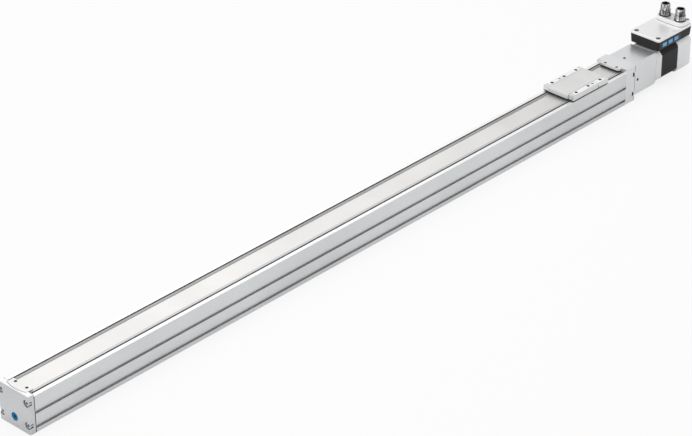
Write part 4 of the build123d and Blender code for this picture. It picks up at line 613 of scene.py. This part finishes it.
# Stator: a stack of electrical steel sheets, 0.5 mm thick, painted black over their edges.
# The sheets' edges still show as lines round the block, drawn 1 mm apart.
STATOR_DARK, STATOR_LIGHT, STATOR_ROUGH = "#161617", "#212122", 0.5
SHEET, SHEET_DEPTH, STACKED = 0.001, 0.00003, (1.0, 0.02, 0.02)
finish(grained_metal("black_stator_paint", STATOR_DARK, STATOR_LIGHT, STACKED, SHEET, STATOR_ROUGH,
                     metallic=0.0, depth=SHEET_DEPTH, Specular_IOR_Level=0.3), "motor_stator")

# Bell screws: the motor's four long M3 screws, which clamp its parts together, cold headed from
# steel and zinc plated. Their heads stand in counterbores in the rear bell.
BELL_SEAT_X, BOLT_HALF, M3_HEAD_D, M3_HEAD_H, M3_D, M3_KEY = 0.586, 0.0155, 0.0055, 0.00299, 0.003, 0.0025
bell_screw = knurled_screw("bell_screw", M3_HEAD_D, M3_HEAD_H, M3_D,
                           length_below("bell_screws", 0, BELL_SEAT_X, 0), M3_KEY)
bell_screws = set_out(bell_screw,
                      [(BELL_SEAT_X, y, AXIS_Z + z) for y in (-BOLT_HALF, BOLT_HALF)
                       for z in (-BOLT_HALF, BOLT_HALF)], TURN_TO_DRIVE, "knurled_bell_screws")
hand_over(bell_screws, zinc_plate, "base", "fastener_steel", "bell_screws")

# Electronics housing and connector inserts: glass-filled polyamide moulded in black. The
# mould's fine grain, drawn 0.9 mm wide, makes it matt.
BOX_DARK, BOX_LIGHT, BOX_ROUGH, BOX_GRAIN = "#19191A", "#222223", 0.5, 0.0009
finish(moulded("black_polyamide", BOX_DARK, BOX_LIGHT, BOX_GRAIN, BOX_ROUGH, Specular_IOR_Level=0.3),
       "electronics_housing", "left_insert", "right_insert")

# Circuit boards: fibreglass with green solder resist printed over copper, which gives a glassy
# dark green. They are seen only with the lid off; the copper's relief is drawn 2 mm wide.
BOARD_DARK, BOARD_LIGHT, BOARD_ROUGH, BOARD_RELIEF = "#0E4A2C", "#125A36", 0.35, 0.002
finish(moulded("solder_resist", BOARD_DARK, BOARD_LIGHT, BOARD_RELIEF, BOARD_ROUGH),
       "controller_board", "switch_board")

# Electronics lid: die-cast, shot blasted and lacquered silver, brighter than the motor. The
# shot's dimples are 0.3 mm across and drawn 1.6 mm. A grey line of painted shade lies in the
# corner under the platform, the step above it carries a painted highlight, and the platform's
# top is toned a little darker.
LID_DARK, LID_LIGHT, LID_ROUGH, LID_DIMPLE, LID_DEPTH = "#F3F3F3", "#FCFCFC", 0.38, 0.0016, 0.00001
LID_SHADE, STEP_PAINTED_HIGHLIGHT, PLATFORM_TONE = "#77787A", "#FFFFFF", "#DEDFDF"
ABOVE_LID, ON_STEP, ON_PLATFORM = ("Z", 0.06165, 0.06175), ("Z", 0.0622, 0.0623), ("Z", 0.0666, 0.0668)
finish(grained_metal("blasted_lid_lacquer", LID_DARK, LID_LIGHT, EVEN, LID_DIMPLE, LID_ROUGH,
                     metallic=0.65, depth=LID_DEPTH,
                     zones=[(LID_SHADE, ABOVE_LID), (STEP_PAINTED_HIGHLIGHT, ON_STEP), (PLATFORM_TONE, ON_PLATFORM)]),
       "electronics_lid")

# Lid screws: two short ones sunk in the flat front and two long ones in the platform's
# corners, of zinc plated steel that handling has dulled to a mid grey.
DULL_DARK, DULL_LIGHT, DULL_ROUGH = "#6E6F72", "#A2A3A6", 0.25
LID_HEAD_D, LID_HEAD_H, LID_D, LID_KEY = 0.004, 0.0016, 0.0025, 0.0015
LID_FRONT, LID_REAR = (0.5281, 0.0162, 0.06), (0.5843, 0.0172, 0.0654)
dulled_zinc = grained_metal("dulled_zinc_plate", DULL_DARK, DULL_LIGHT, EVEN, OXIDE_CLOUD, DULL_ROUGH,
                            metallic=1.0)
for (x, y, z), label in ((LID_FRONT, "front"), (LID_REAR, "rear")):
    lid_screw = knurled_screw("lid_screw", LID_HEAD_D, LID_HEAD_H, LID_D, length_below("lid_screws", 2, z, 0),
                              LID_KEY)
    pair = set_out(lid_screw, [(x, y, z), (x, -y, z)], UPRIGHT, label + "_lid_screws")
    hand_over(pair, dulled_zinc, "base", "fastener_steel", *(["lid_screws"] if label == "front" else []))

# Washers: rings of black rubber sheet in the seats of the two front lid screws, round the heads,
# which stand for the shade in the seats, a painted shade.
WASHER_IN, WASHER_SEAT_R, WASHER_OUT = 0.0021, 0.00285, 0.00295
WASHER_HIGH, WASHER_EDGE, WASHER_SIDES = 0.0006, 0.0001, 40
washer = turned("washer", [(WASHER_IN, 0), (WASHER_SEAT_R, 0), (WASHER_OUT, WASHER_EDGE),
                           (WASHER_OUT, WASHER_HIGH - WASHER_EDGE), (WASHER_SEAT_R, WASHER_HIGH),
                           (WASHER_IN, WASHER_HIGH)], WASHER_SIDES)
washers = set_out(washer, [(LID_FRONT[0], side * LID_FRONT[1], LID_FRONT[2]) for side in (-1, 1)], UPRIGHT,
                  "lid_washers")
hand_over(washers, black_nitrile, "base", "black_rubber")

# Round connectors: M12 panel connectors of nickel plated brass, turned and milled. Each has a
# seat on the lid, a hexagon with rounded corners, a threaded collar with a lead-in and a bore.
# Dark and bright upright streaks are painted into the plating's colour, a painted reflection.
SEAT_Z, HEX_Z, COLLAR_Z, MOUTH_Z, NECK_Z, BORE_FLOOR = 0.067, 0.069, 0.074, 0.082, 0.061, 0.068
SEAT_R, HEX_FLAT, COLLAR_R, BORE_R, NECK_R, NECK_BORE_R = 0.0069, 0.0065, 0.006, 0.0043, 0.0046, 0.0038
PITCH, THREAD_DEPTH, CREST_START, CREST_END, LEAD = 0.001, 0.0005, 0.45, 0.55, 0.0009
SEAT_CHAMFER, MOUTH_CHAMFER, LEAD_START = 0.0004, 0.0003, 0.0001
HEX_LAP, HEX_CORNER, HEX_ROUND, HEX_CROWN, BARREL_WALL, ROUND_SIDES = 0.0003, 1.16, 0.1, 1.8, 0.0008, 64
CONNECTOR_X, CONNECTOR_Y = 0.577, 0.0112
# Painted reflection: the nickel's dark and light tones make upright streaks.
NICKEL_DARK, NICKEL_LIGHT, NICKEL_ROUGH, NICKEL_REFLECTION_STREAK = "#28292B", "#ECECEE", 0.2, 0.0012
STREAKED_UP, STREAK_SPREAD = (1.0, 1.0, 0.1), (0.73, 0.90)
nickel_plate = grained_metal("nickel_plated_brass", NICKEL_DARK, NICKEL_LIGHT, STREAKED_UP, NICKEL_REFLECTION_STREAK,
                             NICKEL_ROUGH, metallic=1.0, spread=STREAK_SPREAD, mottle=0.0)


def connector_collar():
    """Neck, seat, threaded collar and bore in one turned piece."""
    outline = [(NECK_BORE_R, NECK_Z), (NECK_R, NECK_Z), (NECK_R, SEAT_Z), (SEAT_R, SEAT_Z),
               (SEAT_R, HEX_Z - SEAT_CHAMFER), (SEAT_R - SEAT_CHAMFER, HEX_Z),
               (COLLAR_R - THREAD_DEPTH, HEX_Z), (COLLAR_R - THREAD_DEPTH, COLLAR_Z + PITCH / 2)]
    turns = int((MOUTH_Z - LEAD - COLLAR_Z - PITCH / 2) / PITCH)
    for turn in range(turns):
        root = COLLAR_Z + PITCH / 2 + turn * PITCH
        outline += [(COLLAR_R, root + PITCH * CREST_START), (COLLAR_R, root + PITCH * CREST_END),
                    (COLLAR_R - THREAD_DEPTH, root + PITCH)]
    outline += [(COLLAR_R - MOUTH_CHAMFER, MOUTH_Z - LEAD + LEAD_START), (COLLAR_R - LEAD, MOUTH_Z),
                (BORE_R + MOUTH_CHAMFER, MOUTH_Z), (BORE_R, MOUTH_Z - MOUTH_CHAMFER), (BORE_R, BORE_FLOOR),
                (NECK_BORE_R, BORE_FLOOR)]
    return turned("connector_collar", outline, ROUND_SIDES)


def connector_hexagon():
    """The spanner hexagon, its corners rounded off at both ends as on a turned nut."""
    low, corner, chamfer = HEX_Z - HEX_LAP, HEX_FLAT * HEX_CORNER, HEX_FLAT * HEX_ROUND
    hexagon = cylinder("connector_hexagon", HEX_FLAT / math.cos(math.pi / 6), low, COLLAR_Z, 6)
    barrel = turned("barrel", [(COLLAR_R - BARREL_WALL, low), (corner - chamfer, low),
                               (corner, low + chamfer), (corner, COLLAR_Z - chamfer),
                               (corner - chamfer * HEX_CROWN, COLLAR_Z), (COLLAR_R - BARREL_WALL, COLLAR_Z)],
                    ROUND_SIDES)
    combine(hexagon, barrel, "INTERSECT")
    return hexagon


for side, label in ((1, "left"), (-1, "right")):
    shell = set_out(join(connector_collar(), connector_hexagon()),
                    [(CONNECTOR_X, side * CONNECTOR_Y, 0)], UPRIGHT, label + "_threaded_connector")
    hand_over(shell, nickel_plate, "base", "connector_metal", label + "_connector")
finish(nickel_plate, "left_connector_nut", "right_connector_nut")

# Connector seals: moulded rings of black rubber, clamped under the connectors on the lid's
# platform. The pressure makes them bulge a little beyond the seats.
SEAL_IN, SEAL_FOOT_R, SEAL_OUT, SEAL_EDGE, SEAL_HIGH = 0.0061, 0.0071, 0.0073, 0.0004, 0.0012
seal = turned("seal", [(SEAL_IN, 0), (SEAL_FOOT_R, 0), (SEAL_OUT, SEAL_EDGE),
                       (SEAL_OUT, SEAL_HIGH - SEAL_EDGE), (SEAL_FOOT_R, SEAL_HIGH), (SEAL_IN, SEAL_HIGH)],
              ROUND_SIDES)
seals = set_out(seal, [(CONNECTOR_X, side * CONNECTOR_Y, SEAT_Z) for side in (-1, 1)], UPRIGHT,
                "connector_seals")
hand_over(seals, black_nitrile, "base", "black_rubber")

# Contact pins: five in each connector, one in the middle of a ring of four, turned from brass
# with rounded tips and gold plated, which gives a warm shine. Turning marks are drawn 1 mm wide.
PIN_R, PIN_LOW, PIN_HIGH, PIN_RING, PIN_ROUND, PIN_SIDES = 0.0005, 0.0735, 0.0757, 0.0023, 0.7, 16
GOLD_DARK, GOLD_LIGHT, GOLD_ROUGH = "#B98A3A", "#D9B05C", 0.2
gold_plate = grained_metal("gold_plated_pins", GOLD_DARK, GOLD_LIGHT, EVEN, CUTTER_MARK, GOLD_ROUGH,
                           metallic=1.0)
pin_ring = [(0.0, 0.0)] + [(PIN_RING * math.cos(a), PIN_RING * math.sin(a))
                           for a in (math.pi / 4 + i * math.pi / 2 for i in range(4))]
for side, label in ((1, "left"), (-1, "right")):
    pin = cylinder("pin", PIN_R, PIN_LOW, PIN_HIGH, PIN_SIDES)
    pick(pin, lambda centre, normal: normal.z > FACING)
    bpy.ops.mesh.bevel(offset=PIN_R * PIN_ROUND, segments=3)
    bpy.ops.object.mode_set(mode="OBJECT")
    pins = set_out(pin, [(CONNECTOR_X + x, side * CONNECTOR_Y + y, 0) for x, y in pin_ring], UPRIGHT,
                   label + "_contact_pins")
    hand_over(pins, gold_plate, "base", "connector_metal")

# Key panel: a polyester foil, printed dark blue that fades to black at both ends, bonded into
# the housing's side. Its satin embossing is 0.1 mm fine and drawn 0.8 mm wide.
PANEL_BLACK, PANEL_BLUE, PANEL_BLUE_LIGHT, PANEL_ROUGH = "#121417", "#06304E", "#0B3C60", 0.45
FADE_NEAR, FADE_REAR = ("X", 0.532, 0.527), ("X", 0.562, 0.567)
finish(grained_metal("printed_polyester_foil", PANEL_BLUE, PANEL_BLUE_LIGHT, EVEN, MOULD_GRAIN, PANEL_ROUGH,
                     metallic=0.0, zones=[(PANEL_BLACK, FADE_NEAR), (PANEL_BLACK, FADE_REAR)]), "key_panel")

# Keys: three translucent silicone caps, moulded in light blue with a raised, rounded face, a
# darker printed rim and a stem towards the switch. Their skin is satin, its grain drawn 0.8 mm.
KEY_THICK, KEY_CORNER, KEY_ROUND, KEY_BORDER = 0.0012, 0.0012, 0.00025, 0.0006
KEY_STEM_R, STEM_SIDES, FLAT = 0.0015, 24, 0.999
KEY_DARK, KEY_LIGHT, KEY_ROUGH = "#5BA3CC", "#86C6E6", 0.3
RIM_DARK, RIM_LIGHT, RIM_ROUGH = "#0C3A5C", "#12486F", 0.45
key_blue = moulded("translucent_blue_silicone", KEY_DARK, KEY_LIGHT, MOULD_GRAIN, KEY_ROUGH)
key_rim = moulded("dark_blue_silicone", RIM_DARK, RIM_LIGHT, MOULD_GRAIN, RIM_ROUGH)


def pillow_key(name):
    """A key cap with a raised, rounded face and a dark rim, on a round stem towards the switch."""
    low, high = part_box(name)
    middle, back = (low + high) / 2, low.y + KEY_THICK
    bpy.ops.object.select_all(action="DESELECT")
    bpy.ops.mesh.primitive_cube_add(size=1, location=(middle.x, (low.y + back) / 2, middle.z))
    key = bpy.context.object
    key.scale = (high.x - low.x, KEY_THICK, high.z - low.z)
    bpy.ops.object.transform_apply(location=True, rotation=True, scale=True)
    bpy.ops.object.mode_set(mode="EDIT")
    bpy.ops.mesh.select_mode(type="EDGE")
    bpy.ops.mesh.select_all(action="DESELECT")
    bpy.ops.object.mode_set(mode="OBJECT")
    for edge in key.data.edges:
        first, second = (key.data.vertices[i].co for i in edge.vertices)
        edge.select = abs(first.y - second.y) > KEY_THICK / 2
    bpy.ops.object.mode_set(mode="EDIT")
    bpy.ops.mesh.bevel(offset=KEY_CORNER, segments=5)
    pick(key, lambda centre, normal: normal.y < -FACING)
    bpy.ops.mesh.bevel(offset=KEY_ROUND, segments=3)
    pick(key, lambda centre, normal: normal.y < -FLAT)
    bpy.ops.mesh.inset(thickness=KEY_BORDER)
    bpy.ops.object.mode_set(mode="OBJECT")
    stem = cylinder("stem", KEY_STEM_R, 0, high.y - back + KEY_ROUND, STEM_SIDES)
    stem = set_out(stem, [(middle.x, back - KEY_ROUND, middle.z)], (-math.pi / 2, 0, 0), "stem")
    face_x, face_z = ((side / 2 - KEY_ROUND - KEY_BORDER) for side in (high.x - low.x, high.z - low.z))
    key = join(key, stem)
    key.name = "pillow_" + name
    hand_over(key, key_blue, name, "key_blue", name)
    key.data.materials.append(key_rim)
    for face in key.data.polygons:
        offset = face.center - middle
        on_face = abs(offset.x) < face_x and abs(offset.z) < face_z and face.center.y < back - KEY_ROUND
        face.material_index = 0 if on_face else 1


for label in ("front_key", "middle_key", "rear_key"):
    pillow_key(label)

# Floor: a pale floor that keeps the object's shadow. Seen directly it is near white; the light
# that it gives back is lower, so that colours come out as written.
FLOOR_SIZE, FLOOR_GAP, FLOOR_WHITE_SEEN, FLOOR_WHITE_REFLECTED = 30.0, 0.0002, 0.82, 0.2
FLOOR_COLOUR = "#FAFAFA"
bpy.ops.object.select_all(action="DESELECT")
bpy.ops.mesh.primitive_plane_add(size=FLOOR_SIZE, location=(0, 0, cad_low.z - FLOOR_GAP))
floor = bpy.context.object
floor.name = "floor"
floor_material = new_material("pale_floor")
floor_ray = add_node(floor_material, "ShaderNodeLightPath")
floor_matt = add_node(floor_material, "ShaderNodeBsdfDiffuse", values={"Color": linear(FLOOR_COLOUR)})
floor_white = add_node(floor_material, "ShaderNodeEmission", values={"Strength": 1.0})
floor_seen = add_node(floor_material, "ShaderNodeMath", values={1: FLOOR_WHITE_SEEN},
                      operation="MULTIPLY", links={0: floor_ray.outputs["Is Camera Ray"]})
floor_share = add_node(floor_material, "ShaderNodeMath", values={1: FLOOR_WHITE_REFLECTED},
                       operation="MULTIPLY_ADD", links={0: floor_ray.outputs["Is Glossy Ray"],
                                                        2: floor_seen.outputs[0]})
floor_mix = add_node(floor_material, "ShaderNodeMixShader",
                     links={0: floor_share.outputs[0], 1: floor_matt.outputs[0],
                            2: floor_white.outputs[0]})
add_node(floor_material, "ShaderNodeOutputMaterial", links={"Surface": floor_mix.outputs[0]})
floor.data.materials.append(floor_material)

# Surroundings: a white sky. It is white where it is seen, a little less in reflections, and
# lights the object at about half of that.
SKY_WHITE, SKY_LIGHT, SKY_SEEN, SKY_REFLECTED = "#FFFFFF", 0.48, 1.0, 0.8
sky = bpy.data.worlds.new("white_sky")
sky.use_nodes = True
sky.node_tree.nodes.clear()
bpy.context.scene.world = sky
sky_ray = add_node(sky, "ShaderNodeLightPath")
seen = add_node(sky, "ShaderNodeMath", values={1: SKY_SEEN - SKY_LIGHT, 2: SKY_LIGHT},
                operation="MULTIPLY_ADD", links={0: sky_ray.outputs["Is Camera Ray"]})
strength = add_node(sky, "ShaderNodeMath", values={1: SKY_REFLECTED - SKY_LIGHT}, operation="MULTIPLY_ADD",
                    links={0: sky_ray.outputs["Is Glossy Ray"], 2: seen.outputs[0]})
glow = add_node(sky, "ShaderNodeBackground", values={"Color": linear(SKY_WHITE)},
                links={"Strength": strength.outputs[0]})
add_node(sky, "ShaderNodeOutputWorld", links={"Surface": glow.outputs[0]})

# Lamps: a wide soft one overhead, and a weaker one behind the drive end, whose sheen makes the
# tops brighter than the flanks.
OVERHEAD_PLACE, OVERHEAD_AIM, OVERHEAD_SIZE, OVERHEAD_WATTS = (-0.2, 0.3, 2.2), (0, 0, 0), 2.0, 26
BEHIND_PLACE, BEHIND_AIM, BEHIND_SIZE, BEHIND_WATTS = (1.1, 1.75, 1.5), (-0.2, 0, 0), 1.5, 3.6


def soft_lamp(name, place, aim, size, power):
    """A square area lamp aimed at a point."""
    lamp = bpy.data.lights.new(name, "AREA")
    lamp.size, lamp.energy = size, power
    holder = bpy.data.objects.new(name, lamp)
    holder.location = place
    holder.rotation_euler = (Vector(aim) - Vector(place)).to_track_quat("-Z", "Y").to_euler()
    bpy.context.scene.collection.objects.link(holder)


soft_lamp("overhead", OVERHEAD_PLACE, OVERHEAD_AIM, OVERHEAD_SIZE, OVERHEAD_WATTS)
soft_lamp("behind", BEHIND_PLACE, BEHIND_AIM, BEHIND_SIZE, BEHIND_WATTS)

# Camera: where the photograph was taken from, above the near end and to the right, looking
# along the axis. Place, turn and lens were worked out from the object's corners in the picture.
CAMERA_PLACE = (-1.8044, -1.7019, 1.4835)
CAMERA_TURN = (59.696, 0.240, -46.837)
FOCAL_PIXELS, FRAME_PIXELS, SENSOR_MM, CLIP_NEAR, CLIP_FAR = 2669.7, 692, 36.0, 0.05, 50.0
lens = bpy.data.cameras.new("photo_camera")
lens.sensor_width, lens.lens = SENSOR_MM, FOCAL_PIXELS / FRAME_PIXELS * SENSOR_MM
lens.clip_start, lens.clip_end = CLIP_NEAR, CLIP_FAR
camera = bpy.data.objects.new("photo_camera", lens)
camera.location = CAMERA_PLACE
camera.rotation_euler = [math.radians(angle) for angle in CAMERA_TURN]
bpy.context.scene.collection.objects.link(camera)
bpy.context.scene.camera = camera

bpy.context.scene.view_settings.view_transform = "Standard"
